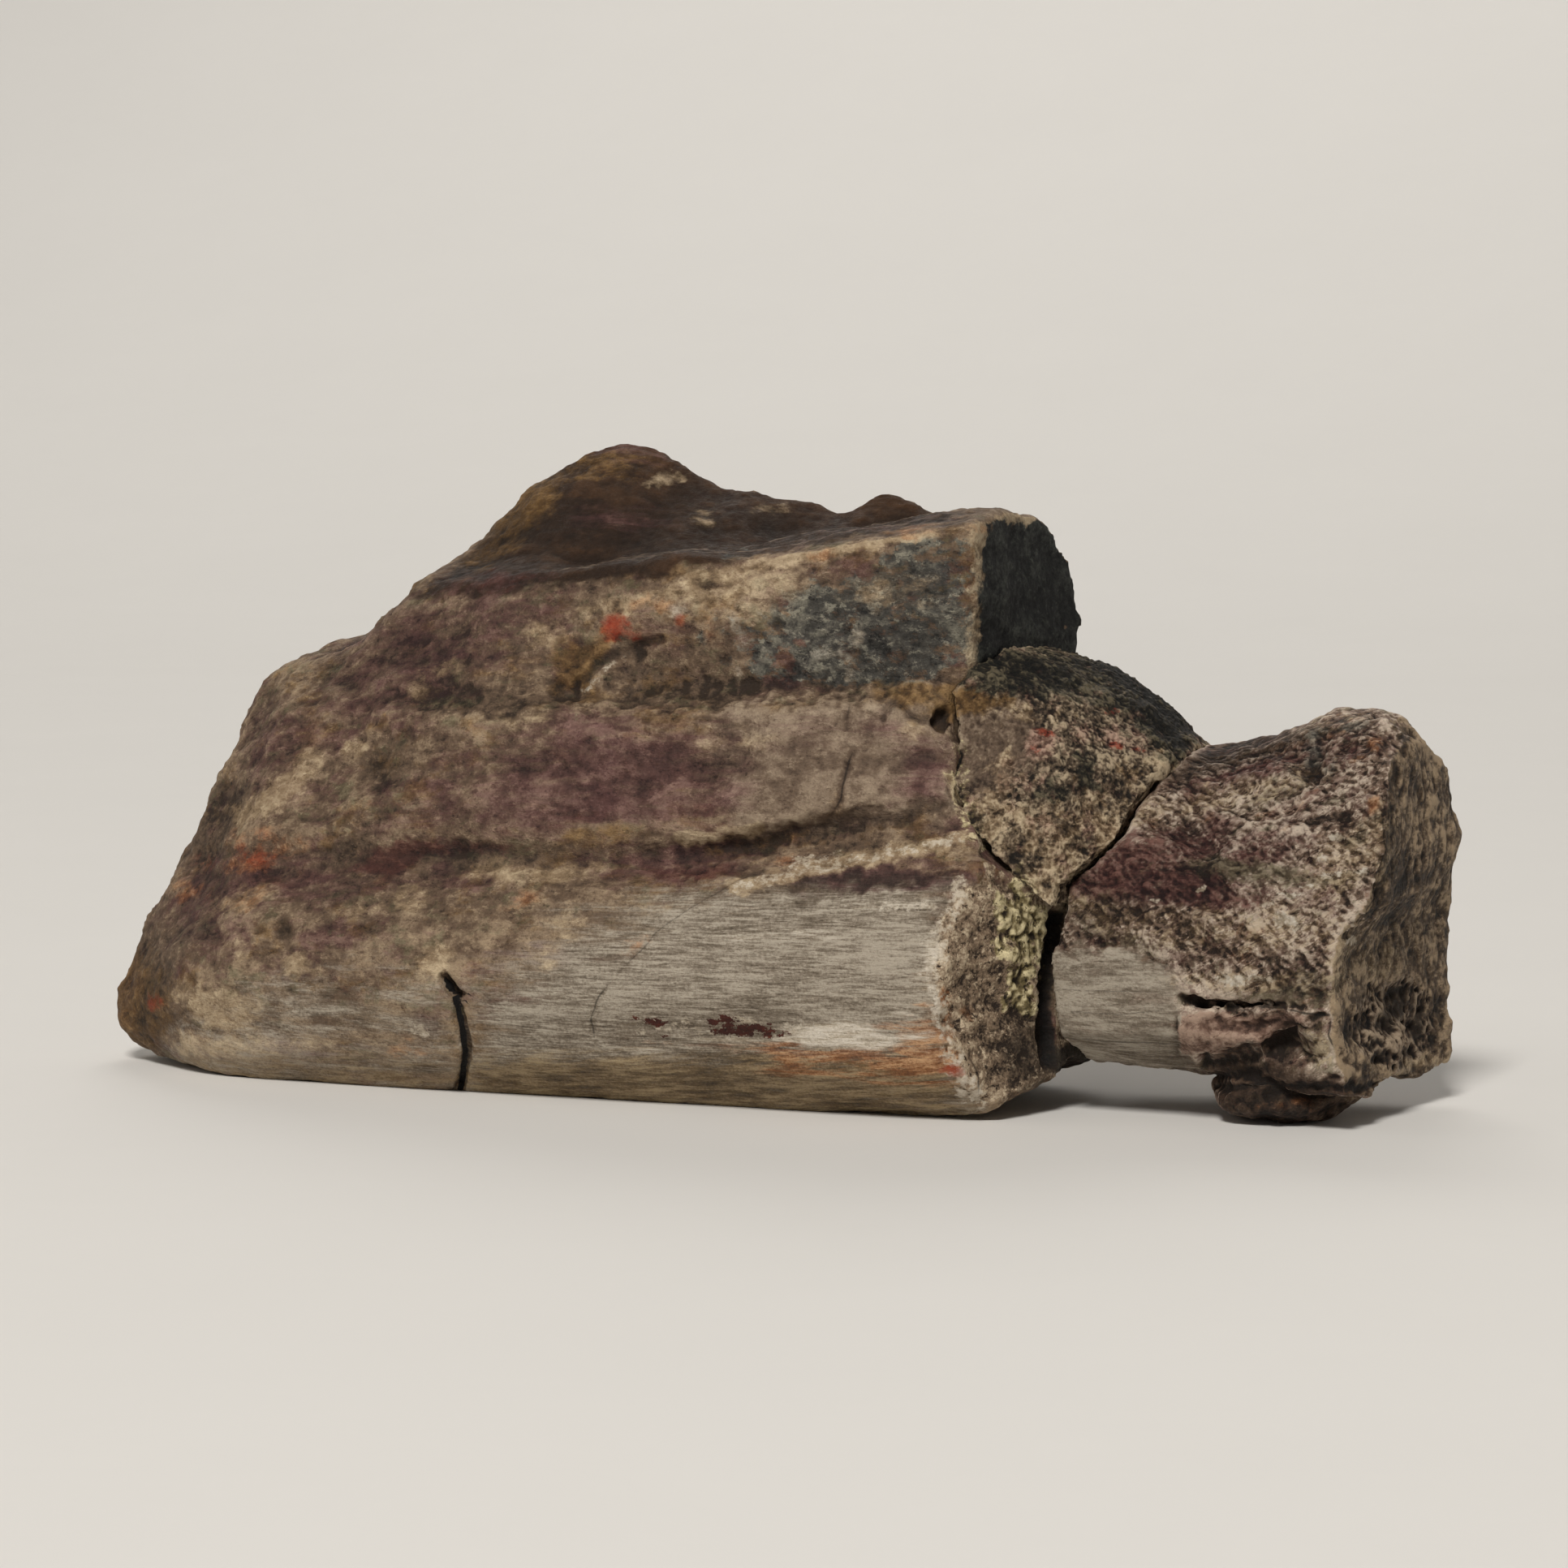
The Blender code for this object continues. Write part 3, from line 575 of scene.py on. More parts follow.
def tone_of(tree, speckles, hollow_shade=1.4, chips=()):
    """A tone from noises, from crisp chips, from the painted shade and highlight of the relief, and from
    painted light and shade.
    """
    parts = [(value, share, 0.5) for value, share in speckles]
    parts += [(value, share, 0.0) for value, share in chips]
    # Painted shade in hollows and a painted highlight on each ridge, fine and broad.
    parts += [(painted(tree, "ridge"), hollow_shade, 0.5), (painted(tree, "broad"), hollow_shade, 0.5)]
    parts += [(painted(tree, "light"), 0.45, 0.0), (painted(tree, "shade"), -0.5, 0.0)]
    total = 0.5
    for value, share, level in parts:
        part = sums(tree, "MULTIPLY", sums(tree, "SUBTRACT", value, level), share)
        total = sums(tree, "ADD", part, total)
    return total


def shaded(tree, tone, colours):
    """A stone's three shades, by its tone."""
    made = add(tree, "ShaderNodeValToRGB", {"Fac": tone})
    made.color_ramp.elements.new(0.5)
    for element, colour in zip(made.color_ramp.elements, colours):
        element.color = colour
    return made.outputs[0]


def stain(tree, under, name, over, tear, amount=0.5, soft=0.25, strength=1.0):
    """Lays a colour over another where a mask is painted, with the mask torn by a noise."""
    there = ramp(tree, painted(tree, name), 0.02, 0.25)
    reach = sums(tree, "MULTIPLY", there, amount * 4)
    shifted = sums(tree, "MULTIPLY", sums(tree, "SUBTRACT", tear, 0.5), reach)
    total = sums(tree, "ADD", painted(tree, name), shifted)
    share = ramp(tree, total, 0.5 - soft, 0.5 + soft)
    if strength < 1:
        share = sums(tree, "MULTIPLY", share, strength)
    return blend(tree, share, under, over)


def layered(tree, colour, stains):
    """Lays stains over a colour in their order: each a mask's name, a tone, shades, and how it tears."""
    for name, tone, colours, *tearing in stains:
        colour = stain(tree, colour, name, shaded(tree, tone, colours), *tearing)
    return colour


def scattered(tree, under, over, spots, low, high, strength):
    """Lays a colour over another in chance spots, where a noise is above a level."""
    return blend(tree, sums(tree, "MULTIPLY", ramp(tree, spots, low, high), strength), under, over)


def drawn_lines(tree, under, name, colour, tear, ragged=0.2):
    """Draws the hairlines from the distances that keep_lines stored, the thinnest only faintly."""
    side, width = painted(tree, name + "_side"), painted(tree, name + "_width")
    away = sums(tree, "MULTIPLY", sums(tree, "ABSOLUTE", sums(tree, "SUBTRACT", side, 0.5), 0), 2)
    uneven = sums(tree, "MULTIPLY", sums(tree, "SUBTRACT", tear, 0.5), ragged)
    inside = sums(tree, "ADD", sums(tree, "SUBTRACT", width, away), uneven)
    there = ramp(tree, width, 0.0, 0.17)
    return blend(tree, sums(tree, "MULTIPLY", ramp(tree, inside, 0.0, 0.06), there), under, colour)


def start_finish(name):
    """A new material with its node tree and its shader."""
    material = bpy.data.materials.new(name)
    material.use_nodes = True
    return material, material.node_tree, material.node_tree.nodes["Principled BSDF"]


def end_finish(tree, shader, colour, gloss, reliefs):
    """Wires colour, gloss and a stack of fine reliefs, each a height and its depth in millimetres."""
    tree.links.new(colour, shader.inputs["Base Color"])
    roughness = add(tree, "ShaderNodeMapRange", {"Value": gloss, "From Min": 0.3, "From Max": 0.7,
                                                 "To Min": 0.9, "To Max": 0.5})
    tree.links.new(roughness.outputs[0], shader.inputs["Roughness"])
    shader.inputs["Specular IOR Level"].default_value = 0.32
    normal = None
    for height, depth in reliefs:
        bump = add(tree, "ShaderNodeBump", {"Height": height, "Strength": 1.0, "Distance": depth / 1000})
        if normal is not None:
            tree.links.new(normal, bump.inputs["Normal"])
        normal = bump.outputs[0]
    tree.links.new(normal, shader.inputs["Normal"])


def hand_over(skin, material, node):
    """Gives a skin its finish and its place in the object."""
    skin.data.materials.append(material)
    skin.data.shade_smooth()
    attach(skin, "root")
    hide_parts(node)
    print(skin.name, "stands for", node, "with", len(material.node_tree.nodes), "material nodes")


# %% [markdown]
# The rib block is the largest piece: the rib's smooth shaft lies along its foot, and the rock behind
# rises to a hump and holds a second piece of bone. Each of these parts has an outline in pixels.

# %% Rib block outlines
RIB_VOXEL = 0.0004
SHAFT = [(575, 1200), (640, 1140), (720, 1110), (820, 1098), (900, 1092), (1000, 1084), (1100, 1074),
         (1196, 1080), (1166, 1130), (1152, 1200), (1160, 1260), (1180, 1330), (1192, 1380), (560, 1380),
         (574, 1290)]
SOFT_CREASE = [(625, 1060), (700, 1056), (780, 1054), (850, 1052)]
LEDGE_SOFT = [(760, 862), (850, 858), (950, 852), (1060, 848), (1160, 850)]
HUMP_OUTLINE = [(500, 740), (560, 700), (620, 640), (690, 560), (760, 520), (880, 560), (950, 590),
                (1050, 600), (1170, 600), (1165, 640), (1050, 658), (960, 680), (860, 700), (760, 715),
                (640, 728)]
SHAFT_LEFT = [(330, 1200), (440, 1180), (545, 1190), (562, 1260), (556, 1380), (230, 1380), (200, 1260)]
CLEFT = [(547, 1203), (556, 1222), (563, 1245), (571, 1270), (575, 1295), (571, 1322), (563, 1352)]
SECOND_BONE = [(850, 710), (960, 692), (1050, 668), (1200, 645), (1202, 830), (1100, 838), (1000, 850),
               (850, 852)]
RIB_END = [(1190, 1092), (1225, 1095), (1262, 1105), (1300, 1140), (1285, 1190), (1276, 1250),
           (1285, 1300), (1295, 1318), (1240, 1352), (1205, 1365), (1180, 1330), (1160, 1262),
           (1150, 1200), (1163, 1130)]
CRUSTED_CRACKS = [
    [(1172, 925), (1180, 950), (1190, 1000), (1203, 1036)],
    [(1252, 1082), (1266, 1104)],
    [(1168, 845), (1200, 832), (1260, 822), (1330, 808)],
    [(1436, 958), (1484, 926)],
]

# %% [markdown]
# The solid has a straight slot for the cleft across the shaft. It is filled first, because a ragged
# cleft is cut in its place later. SLOT_X and SLOT_Z are the slot's course in millimetres.

# %% Fill the slot
SLOT_X = [-26.5, -26.5, -27.0, -28.0, -28.9]
SLOT_Z = [0.0, 6.4, 9.2, 12.6, 15.4]
SLOT_HALF = 0.95
SLOT_BACK = -18.0
SLOT_TOP = 16
BESIDE_SLOT = (1.2, 2.2)
LEVEL_STEP = 0.5
UNDER_FACE = 0.1


def fill_slot(skin):
    """Draws the solid's straight slot out to the face of the shaft, which is measured beside the slot."""
    look = study(skin)
    aside = np.abs(look.x - np.interp(look.z, SLOT_Z, SLOT_X))
    beside = (aside > BESIDE_SLOT[0]) & (aside < BESIDE_SLOT[1]) & (look.y < SLOT_BACK)
    levels = np.arange(0, SLOT_TOP + 1, LEVEL_STEP)
    face = [np.median(look.y[beside & (np.abs(look.z - level) < LEVEL_STEP)]) for level in levels]
    face = np.interp(look.z, levels, face)
    inside = (aside < SLOT_HALF) & (look.y > face + UNDER_FACE) & (look.y < SLOT_BACK)
    inside &= look.z < SLOT_TOP
    look.mm[inside, 1] = face[inside]
    push(skin, look, np.zeros(len(look.u)))
    apply_modifier(skin, "REMESH", mode="VOXEL", voxel_size=RIB_VOXEL)
    print("the slot had", int(inside.sum()), "vertices")


# %% [markdown]
# Bone and rock need different hands. The shaft is smoothed hard, so that no facet is left, and the
# rock lightly, so that its breaks stay crisp. A vertex group holds how far each vertex may relax.

# %% Rib block skin
rib = stone_skin("rib_in_rock", "rib_block", RIB_VOXEL)
fill_slot(rib)
smooth(rib, 5)
look = study(rib)
foot = smooth_step(2, 0.5, look.z)
summit = smooth_step(66, 71, look.z)
on_shaft = most(area(look, SHAFT, 30, 0), area(look, SHAFT_LEFT, 40, 0), foot)
on_cleft = line(look, CLEFT, 26, 10, 0)
on_second = area(look, SECOND_BONE, 20, 0)
creases = most(line(look, SOFT_CREASE, 40, 30, 0), 0.8 * line(look, LEDGE_SOFT, 16, 20, 0))
worn = most(on_shaft, 0.7 * on_second, creases, on_cleft, summit)
smooth(rib, 90, np.clip(worn * (look.z > FOOT_KEPT), 0, 1))
print("the shaft is", round(float(on_shaft.mean()), 3), "of the skin")

# %% [markdown]
# The cracks, ledges, rims and pits are the landmarks of this stone, so each has its own place.
# A pit is an oval: its middle pixel, half width, half height, turn in degrees and strength.

# %% Rib block landmarks
CLEFT_BRANCH = [(556, 1222), (571, 1225)]
CLEFT_NOTCH = [(550, 1208), (562, 1226)]
FURROW = [(845, 1058), (900, 1048), (940, 1036), (985, 1022), (1050, 1008), (1110, 1000), (1180, 985)]
FURROW_LOW = [(985, 1098), (1060, 1086), (1130, 1072), (1200, 1062)]
LEDGE = [(690, 854), (760, 862), (850, 858), (950, 852), (1050, 846)]
LEDGE_LEFT = [(440, 900), (462, 880), (500, 866), (560, 860), (630, 866)]
OBLIQUE_CRACK = [(1051, 922), (1043, 950), (1036, 985), (1024, 1003)]
OBLIQUE_CRACK_TOP = [(1048, 862), (1043, 894)]
CURL = [(1088, 886), (1092, 874), (1102, 866), (1114, 870), (1122, 882), (1134, 889), (1152, 889)]
HAIRLINE = [(734, 1284), (728, 1256), (736, 1232), (751, 1211)]
HAIRLINE_UP = [(766, 1194), (796, 1166), (808, 1148), (836, 1130), (868, 1108), (902, 1090), (930, 1076)]
RED_GROOVE = [(762, 788), (784, 794), (812, 788)]
SHELL_CURL = [(712, 846), (728, 830), (742, 814), (764, 804), (790, 806)]
SHELL_RIM = [(722, 850), (738, 832), (754, 818), (776, 812)]
PALE_STRIPE = [(906, 1093), (960, 1080), (1000, 1070), (1050, 1060), (1100, 1050), (1150, 1042),
               (1185, 1034)]
CREAM_BAND = [(838, 1034), (880, 1029), (930, 1020)]
RIB_RIM = [(1188, 1092), (1166, 1130), (1152, 1200), (1160, 1260), (1182, 1325), (1206, 1360)]
CRUST_OUTLINE = [(1222, 1098), (1262, 1110), (1292, 1132), (1297, 1150), (1284, 1188), (1274, 1248),
                 (1240, 1246), (1230, 1180)]
# The gap beside the end block is cut in, and it and its foot get a painted shadow.
END_GAP = [(1302, 1132), (1294, 1180), (1287, 1240), (1291, 1306)]
GAP_FOOT_SHADOW = (1320, 1308, 34, 22, 0, 1)
NODULE = (1242, 1175, 10, 10, 0, 1)
PITS = [
    (352, 1146, 9, 14, 10, 0.7), (957, 768, 8, 6, 0, 0.6), (892, 812, 9, 5, -20, 0.4),
    (1161, 890, 9, 14, 0, 1), (265, 1156, 10, 16, 0, 0.3), (470, 975, 10, 26, 0, 0.3),
    (978, 822, 8, 6, 0, 0.4)
]
END_PITS = [
    (1205, 1170, 10, 8, 0, 1), (1215, 1235, 10, 8, 0, 1), (1232, 1290, 9, 8, 0, 1),
    (1200, 1300, 8, 7, 0, 1), (1250, 1215, 8, 7, 0, 1), (1222, 1120, 9, 7, 0, 1), (1258, 1256, 9, 7, 0, 1),
    (1190, 1215, 7, 8, 0, 1)
]
LEDGE_CRUST = [
    (1060, 850), (1100, 838), (1160, 836), (1205, 838), (1212, 868), (1170, 892), (1120, 874), (1080, 878)
]

# %% [markdown]
# Rock relief has layers: broad swells, ledges where the rock split along its bedding, and a fine
# tooth. Bone instead has a lengthwise grain, so its noise is drawn out along the shaft. The cracks
# and the pits are cut last, a little deeper than they look.

# %% Rib block relief


def rib_relief(look):
    """The height of the rib block's fine form, in millimetres."""
    on_shaft = most(area(look, SHAFT, 60, 8), 0.6 * area(look, SHAFT_LEFT, 60, 8))
    on_end = area(look, RIB_END, 8, 3)
    on_second = area(look, SECOND_BONE, 12, 6)
    on_hump = area(look, HUMP_OUTLINE, 30, 4)
    rock = 1 - most(on_shaft, 0.6 * on_second, on_end)
    bedding = look.mm * (0.5, 1.0, 1.3)
    swell = rough(look.mm, 9.0, 1, 2)
    ledges = terraces(rough(bedding, 7.0, 5) * 1.6, 0.45)
    hackle = np.abs(rough(bedding, 3.2, 7))
    tooth = rough(look.mm, 1.5, 9)
    calm = 0.7 - 0.35 * look.toward
    breaks = 0.8 * ledges + 0.5 * hackle + 0.2 * tooth
    rock_height = (0.4 - 0.2 * on_hump) * swell + calm * breaks + 0.05 * tooth
    grain = rough(look.mm * (0.07, 1.0, 1.0), 0.9, 21) * 0.05 + rough(look.mm * (0.3, 1, 1), 7.0, 22) * 0.14
    second = 0.2 * rough(look.mm * (0.5, 1, 1), 3.0, 31) + 0.28 * rough(look.mm * (0.6, 1, 1), 1.3, 32)
    end = 0.6 * rough(look.mm, 4.5, 42, 2) + 0.22 * rough(look.mm, 1.4, 41)
    crust = np.zeros(len(look.u))
    ledge_crust = area(look, LEDGE_CRUST, 16, 8)
    crusted = most(area(look, CRUST_OUTLINE, 20, 8), 0.7 * ledge_crust)
    lumps = crusted > 0
    large_beads = 0.6 - cells(look.mm[lumps] / 1.2, 51)
    small_beads = 0.6 - cells(look.mm[lumps] / 0.7, 52)
    crust[lumps] = 0.3 + 0.7 * large_beads + 0.4 * small_beads
    risen = (
        rock * rock_height + on_shaft * grain + on_second * second + on_end * end + crusted * crust
        + 0.7 * patch(look, NODULE, 0.8, 1)
        + 0.1 * line(look, RIB_RIM, 6, 12, 8) * (1 + 2 * rough(look.mm, 1.4, 43))
        + 0.12 * line(look, PALE_STRIPE, 6, 12, 6)
        + 0.15 * line(look, SHELL_RIM, 5, 8, 3)
    )
    cut = (
        1.1 * line(look, CLEFT, 6, 5, 1.5)
        + 0.9 * line(look, CLEFT_NOTCH, 9, 6, 2.0)
        + 1.8 * line(look, END_GAP, 12, 8, 2)
        + 0.5 * line(look, CLEFT_BRANCH, 2, 5, 3.0)
        + 0.6 * line(look, FURROW, 8, 20, 9)
        + 0.3 * line(look, FURROW_LOW, 12, 20, 9)
        + 0.5 * line(look, LEDGE, 6, 22, 14)
        + 0.3 * line(look, LEDGE_LEFT, 8, 22, 14)
        + 0.3 * line(look, OBLIQUE_CRACK, 2, 6, 4)
        + 0.2 * line(look, OBLIQUE_CRACK_TOP, 2, 5, 3)
        + 0.3 * line(look, CURL, 3, 6, 2)
        + 0.1 * most(line(look, HAIRLINE, 1.5, 4, 1), 0.5 * line(look, HAIRLINE_UP, 2, 4, 2))
        + 0.4 * line(look, RED_GROOVE, 5, 8, 2)
        + 0.4 * line(look, SHELL_CURL, 5, 10, 3)
        + 0.8 * patches(look, PITS, 0.8, 3)
        + 0.2 * patches(look, END_PITS, 0.8, 4)
    )
    return risen - cut


# %% Sculpt the rib block
look = study(rib)
push(rib, look, fit_to_cracks(look, rib_relief(look), ["wedge_fragment", "end_block"]))
lighten(rib)

# %% [markdown]
# Now the stone is painted. Each list below is one kind of stain: its soft ovals have a middle pixel,
# a half width and height, a turn in degrees and a strength. The sides that the photograph doesn't
# show get the same stains in the same amounts, from noise alone.

# %% Rib block stains
MAUVE_DABS = [
    (1140, 945, 30, 40, -20, 0.8), (1090, 905, 36, 18, 0, 0.4), (1080, 1078, 120, 18, 2, 0.9),
    (790, 945, 110, 50, 0, 0.9), (700, 985, 80, 34, 0, 0.7), (840, 985, 60, 26, 0, 0.7),
    (560, 1000, 120, 40, 0, 0.5), (640, 920, 90, 30, 0, 0.4), (420, 880, 100, 40, 10, 0.5),
    (345, 930, 50, 40, 0, 0.4), (860, 1050, 90, 24, 10, 0.7), (800, 1070, 80, 16, 5, 0.6),
    (400, 1085, 110, 26, 0, 0.6), (320, 1075, 70, 36, 0, 0.5), (250, 1130, 50, 50, 0, 0.4),
    (560, 780, 100, 50, 0, 0.5), (650, 740, 90, 24, 0, 0.35), (470, 820, 60, 40, 0, 0.45),
    (800, 770, 44, 22, 0, 0.5), (770, 640, 60, 20, 0, 0.35), (780, 560, 70, 18, 0, 0.35),
    (1000, 900, 80, 26, 0, 0.25), (1120, 1080, 90, 14, 0, 0.5), (1160, 1072, 50, 18, 0, 0.4),
    (640, 1170, 60, 24, 0, 0.3), (400, 1290, 90, 16, 0, 0.3), (1110, 960, 60, 30, 0, 0.2)
]
MAROON_DABS = [
    (470, 1064, 46, 13, 8, 1), (530, 1046, 60, 9, 4, 0.9), (620, 1046, 50, 8, 0, 0.6),
    (700, 1012, 60, 10, 12, 0.5), (860, 1076, 70, 8, 2, 0.7), (330, 1085, 30, 16, 0, 0.5),
    (870, 1000, 26, 14, 0, 0.5), (600, 712, 70, 12, 0, 0.5)
]
CREAM_DABS = [
    (345, 975, 56, 15, 38, 0.9), (295, 1000, 50, 14, 10, 0.7), (230, 1222, 24, 14, 0, 0.8),
    (280, 1245, 40, 26, 0, 0.7), (260, 1285, 50, 20, 0, 0.5), (690, 1082, 34, 12, 4, 0.9),
    (610, 1076, 34, 14, 0, 0.7), (745, 1068, 30, 8, 0, 0.6), (530, 1186, 30, 13, 25, 0.9),
    (300, 1108, 36, 14, 20, 0.8), (370, 1190, 22, 12, 0, 0.7), (495, 1112, 40, 11, 25, 0.7),
    (430, 1122, 24, 10, 0, 0.5), (290, 1172, 20, 16, 0, 0.5), (680, 1176, 26, 9, 38, 0.7),
    (378, 938, 14, 16, 0, 0.7), (437, 925, 14, 14, 0, 0.7), (550, 822, 18, 12, 0, 0.7),
    (520, 845, 20, 14, 0, 0.5), (672, 780, 22, 16, 0, 0.7), (770, 742, 60, 10, 10, 0.7),
    (870, 722, 50, 16, 12, 0.7), (930, 740, 40, 24, 0, 0.4), (1125, 1052, 60, 6, 10, 0.6),
    (820, 590, 22, 7, 12, 0.7), (955, 628, 32, 7, 6, 0.6), (866, 640, 16, 7, 0, 0.5),
    (720, 1130, 60, 16, 8, 0.4), (1150, 1070, 40, 8, 0, 0.4), (1210, 985, 14, 30, 0, 0.7),
    (1196, 1040, 16, 12, 0, 0.6), (1172, 960, 10, 40, 12, 0.6), (640, 880, 60, 14, 0, 0.3),
    (900, 910, 60, 16, 0, 0.3), (1100, 730, 60, 26, 0, 0.35), (970, 720, 26, 14, 0, 0.4),
    (330, 1290, 70, 12, 0, 0.5), (1140, 900, 30, 12, 0, 0.4), (820, 1120, 40, 8, 0, 0.3)
]
PALE_FLECKS = [
    (1056, 784, 7, 14, 0, 0.5), (1042, 806, 12, 9, 10, 0.6), (1046, 826, 7, 12, 0, 0.5),
    (835, 754, 13, 9, 0, 0.6), (905, 768, 8, 14, 35, 0.5), (918, 792, 8, 12, -40, 0.5),
    (915, 828, 7, 9, -30, 0.7), (1012, 805, 14, 5, 0, 0.4)
]
WHITE_STREAKS = [
    (1030, 1271, 44, 13, 2, 1), (1070, 1284, 36, 8, 0, 1), (985, 1276, 24, 7, 0, 0.8),
    (1120, 1250, 30, 8, 0, 0.5), (1130, 1275, 20, 5, 0, 0.7), (900, 1282, 60, 5, 0, 0.5),
    (1100, 1118, 60, 8, 0, 0.35), (960, 1150, 90, 10, 0, 0.25), (780, 1300, 50, 6, 0, 0.3),
    (1148, 1190, 8, 40, 0, 0.4)
]
RUST_STREAKS = [
    (1100, 1303, 56, 12, 0, 1), (1142, 1276, 24, 28, 0, 1), (1030, 1304, 60, 7, 0, 0.6),
    (1158, 1302, 16, 24, 0, 1), (1120, 1322, 50, 9, 0, 0.5), (940, 1290, 50, 5, 0, 0.5),
    (800, 1282, 34, 6, 0, 0.5), (1090, 1262, 24, 5, 0, 0.6), (1166, 1240, 8, 20, 0, 0.6),
    (1010, 1318, 60, 6, 0, 0.5), (1110, 1330, 60, 6, -4, 0.6)
]
LIME_DABS = [
    (515, 1268, 16, 8, -20, 0.5), (846, 1262, 12, 6, 0, 0.6), (866, 1270, 12, 5, 0, 0.6),
    (914, 1256, 12, 5, 0, 0.7), (790, 1262, 8, 10, 0, 0.5), (830, 1270, 12, 6, 0, 0.6),
    (940, 1258, 12, 4, 0, 0.6), (985, 1268, 14, 5, 0, 0.6), (1186, 1342, 9, 16, 0, 0.7),
    (1110, 1118, 40, 6, 0, 0.5), (1000, 1060, 30, 5, 14, 0.6)
]
RUST_DABS = [
    (505, 1295, 22, 12, 0, 0.5), (305, 1106, 26, 12, 20, 0.5), (300, 1068, 30, 12, 0, 0.4),
    (640, 1110, 30, 12, 20, 0.3), (1014, 682, 20, 7, 8, 0.6), (1120, 655, 30, 6, 8, 0.5),
    (1200, 650, 40, 6, 4, 0.5), (880, 782, 10, 26, 20, 0.4), (800, 745, 26, 8, 0, 0.5),
    (790, 1165, 16, 7, 40, 0.5), (1190, 1245, 8, 12, 0, 0.5), (960, 1060, 24, 8, 0, 0.4),
    (330, 1040, 44, 16, 0, 0.5), (240, 1096, 26, 16, 0, 0.4)
]
RED_DABS = [
    (760, 768, 13, 11, -10, 0.9), (754, 782, 11, 7, 0, 0.7), (776, 784, 18, 5, -8, 0.6),
    (190, 1234, 11, 10, 0, 0.5), (318, 1048, 28, 22, 0, 0.24), (838, 766, 8, 7, 0, 0.5),
    (1180, 1324, 9, 9, 0, 0.5), (1172, 1316, 12, 4, 0, 0.4), (252, 1062, 18, 12, 0, 0.25)
]
OCHRE_DABS = [
    (706, 816, 24, 26, 20, 1), (734, 800, 30, 12, 35, 0.9), (704, 846, 28, 12, 0, 0.7),
    (1182, 858, 40, 24, 10, 1), (1110, 856, 36, 14, 0, 0.9), (1150, 884, 30, 10, 0, 0.5),
    (630, 640, 40, 26, 45, 0.9), (660, 610, 34, 22, 40, 0.7), (590, 690, 40, 14, 35, 0.6),
    (740, 575, 60, 16, 0, 0.6), (740, 1032, 50, 12, 10, 0.6), (168, 1240, 40, 60, 0, 1),
    (640, 820, 24, 16, 0, 0.4), (1075, 1314, 70, 6, -6, 0.5), (560, 935, 44, 10, 10, 0.3),
    (920, 1046, 70, 9, 12, 0.8), (465, 895, 16, 10, 20, 0.6), (820, 790, 44, 6, 0, 0.5),
    (400, 1220, 60, 10, 0, 0.4), (690, 1060, 26, 8, 0, 0.5), (590, 1330, 60, 10, 0, 0.3),
    (1030, 990, 12, 20, -20, 0.5)
]
BLUE_DABS = [
    (1125, 785, 84, 40, 0, 1), (1010, 765, 56, 36, 0, 0.8), (1100, 735, 90, 34, 0, 0.7),
    (1160, 700, 50, 40, 0, 0.7), (980, 820, 60, 20, 0, 0.7), (900, 690, 30, 12, 0, 0.5),
    (1060, 820, 60, 20, 0, 0.7), (900, 790, 40, 30, 0, 0.4)
]

# %% [markdown]
# Light and shade are painted too, apart from the colours: painted light and painted shade. They only push a
# stain's tone up or down, lighter where light falls and darker beneath ledges, and the real shadows fall over
# them.

# %% Rib block light and shade
LIGHT_DABS = [
    (1028, 1270, 48, 13, 0, 0.7), (1074, 1284, 36, 7, 0, 0.6), (1130, 1262, 20, 10, 0, 0.3),
    (540, 935, 170, 60, 0, 0.16), (960, 1180, 170, 50, 0, 0.35), (1000, 960, 120, 50, 0, 0.1),
    (300, 1290, 90, 30, 0, 0.3), (1120, 1180, 40, 60, 0, 0.3), (700, 1240, 100, 30, 0, 0.2)
]
SHADE_DABS = [
    (1060, 1084, 130, 13, 0, 0.5), (1150, 950, 20, 40, -20, 0.3), (530, 1316, 16, 4, 0, 0.6),
    (490, 800, 110, 50, -30, 0.45), (500, 862, 80, 9, 6, 0.6), (640, 872, 70, 10, 0, 0.5),
    (480, 960, 14, 46, 0, 0.4), (640, 950, 16, 34, 0, 0.3), (450, 1100, 40, 14, 0, 0.3),
    (760, 650, 140, 24, 0, 0.5), (600, 712, 90, 14, 0, 0.5), (820, 724, 40, 7, 5, 0.5),
    (900, 845, 60, 7, 0, 0.5), (1000, 770, 46, 26, 0, 0.25), (1110, 800, 60, 22, 0, 0.3),
    (900, 1080, 60, 8, 0, 0.4), (1060, 1086, 90, 10, 0, 0.5), (1160, 1084, 40, 10, 0, 0.5),
    (820, 1100, 130, 9, 0, 0.3), (650, 1098, 60, 7, 0, 0.3), (920, 776, 40, 7, 0, 0.5),
    (250, 1160, 24, 22, 0, 0.4), (880, 1145, 60, 6, 0, 0.3), (1000, 1310, 120, 8, -4, 0.3),
    (170, 1250, 44, 60, 0, 0.5), (180, 1170, 40, 40, 0, 0.3), (360, 870, 60, 50, 30, 0.4),
    (250, 1020, 40, 50, 30, 0.4), (680, 900, 20, 34, 0, 0.2), (1205, 1180, 26, 60, 0, 0.2),
    (1266, 1296, 34, 46, 0, 1), (1180, 1012, 14, 24, 0, 0.4)
]

# %% Rib block marks and lines
BONE_EDGE = [(1204, 648), (1200, 720), (1198, 790), (1200, 826)]
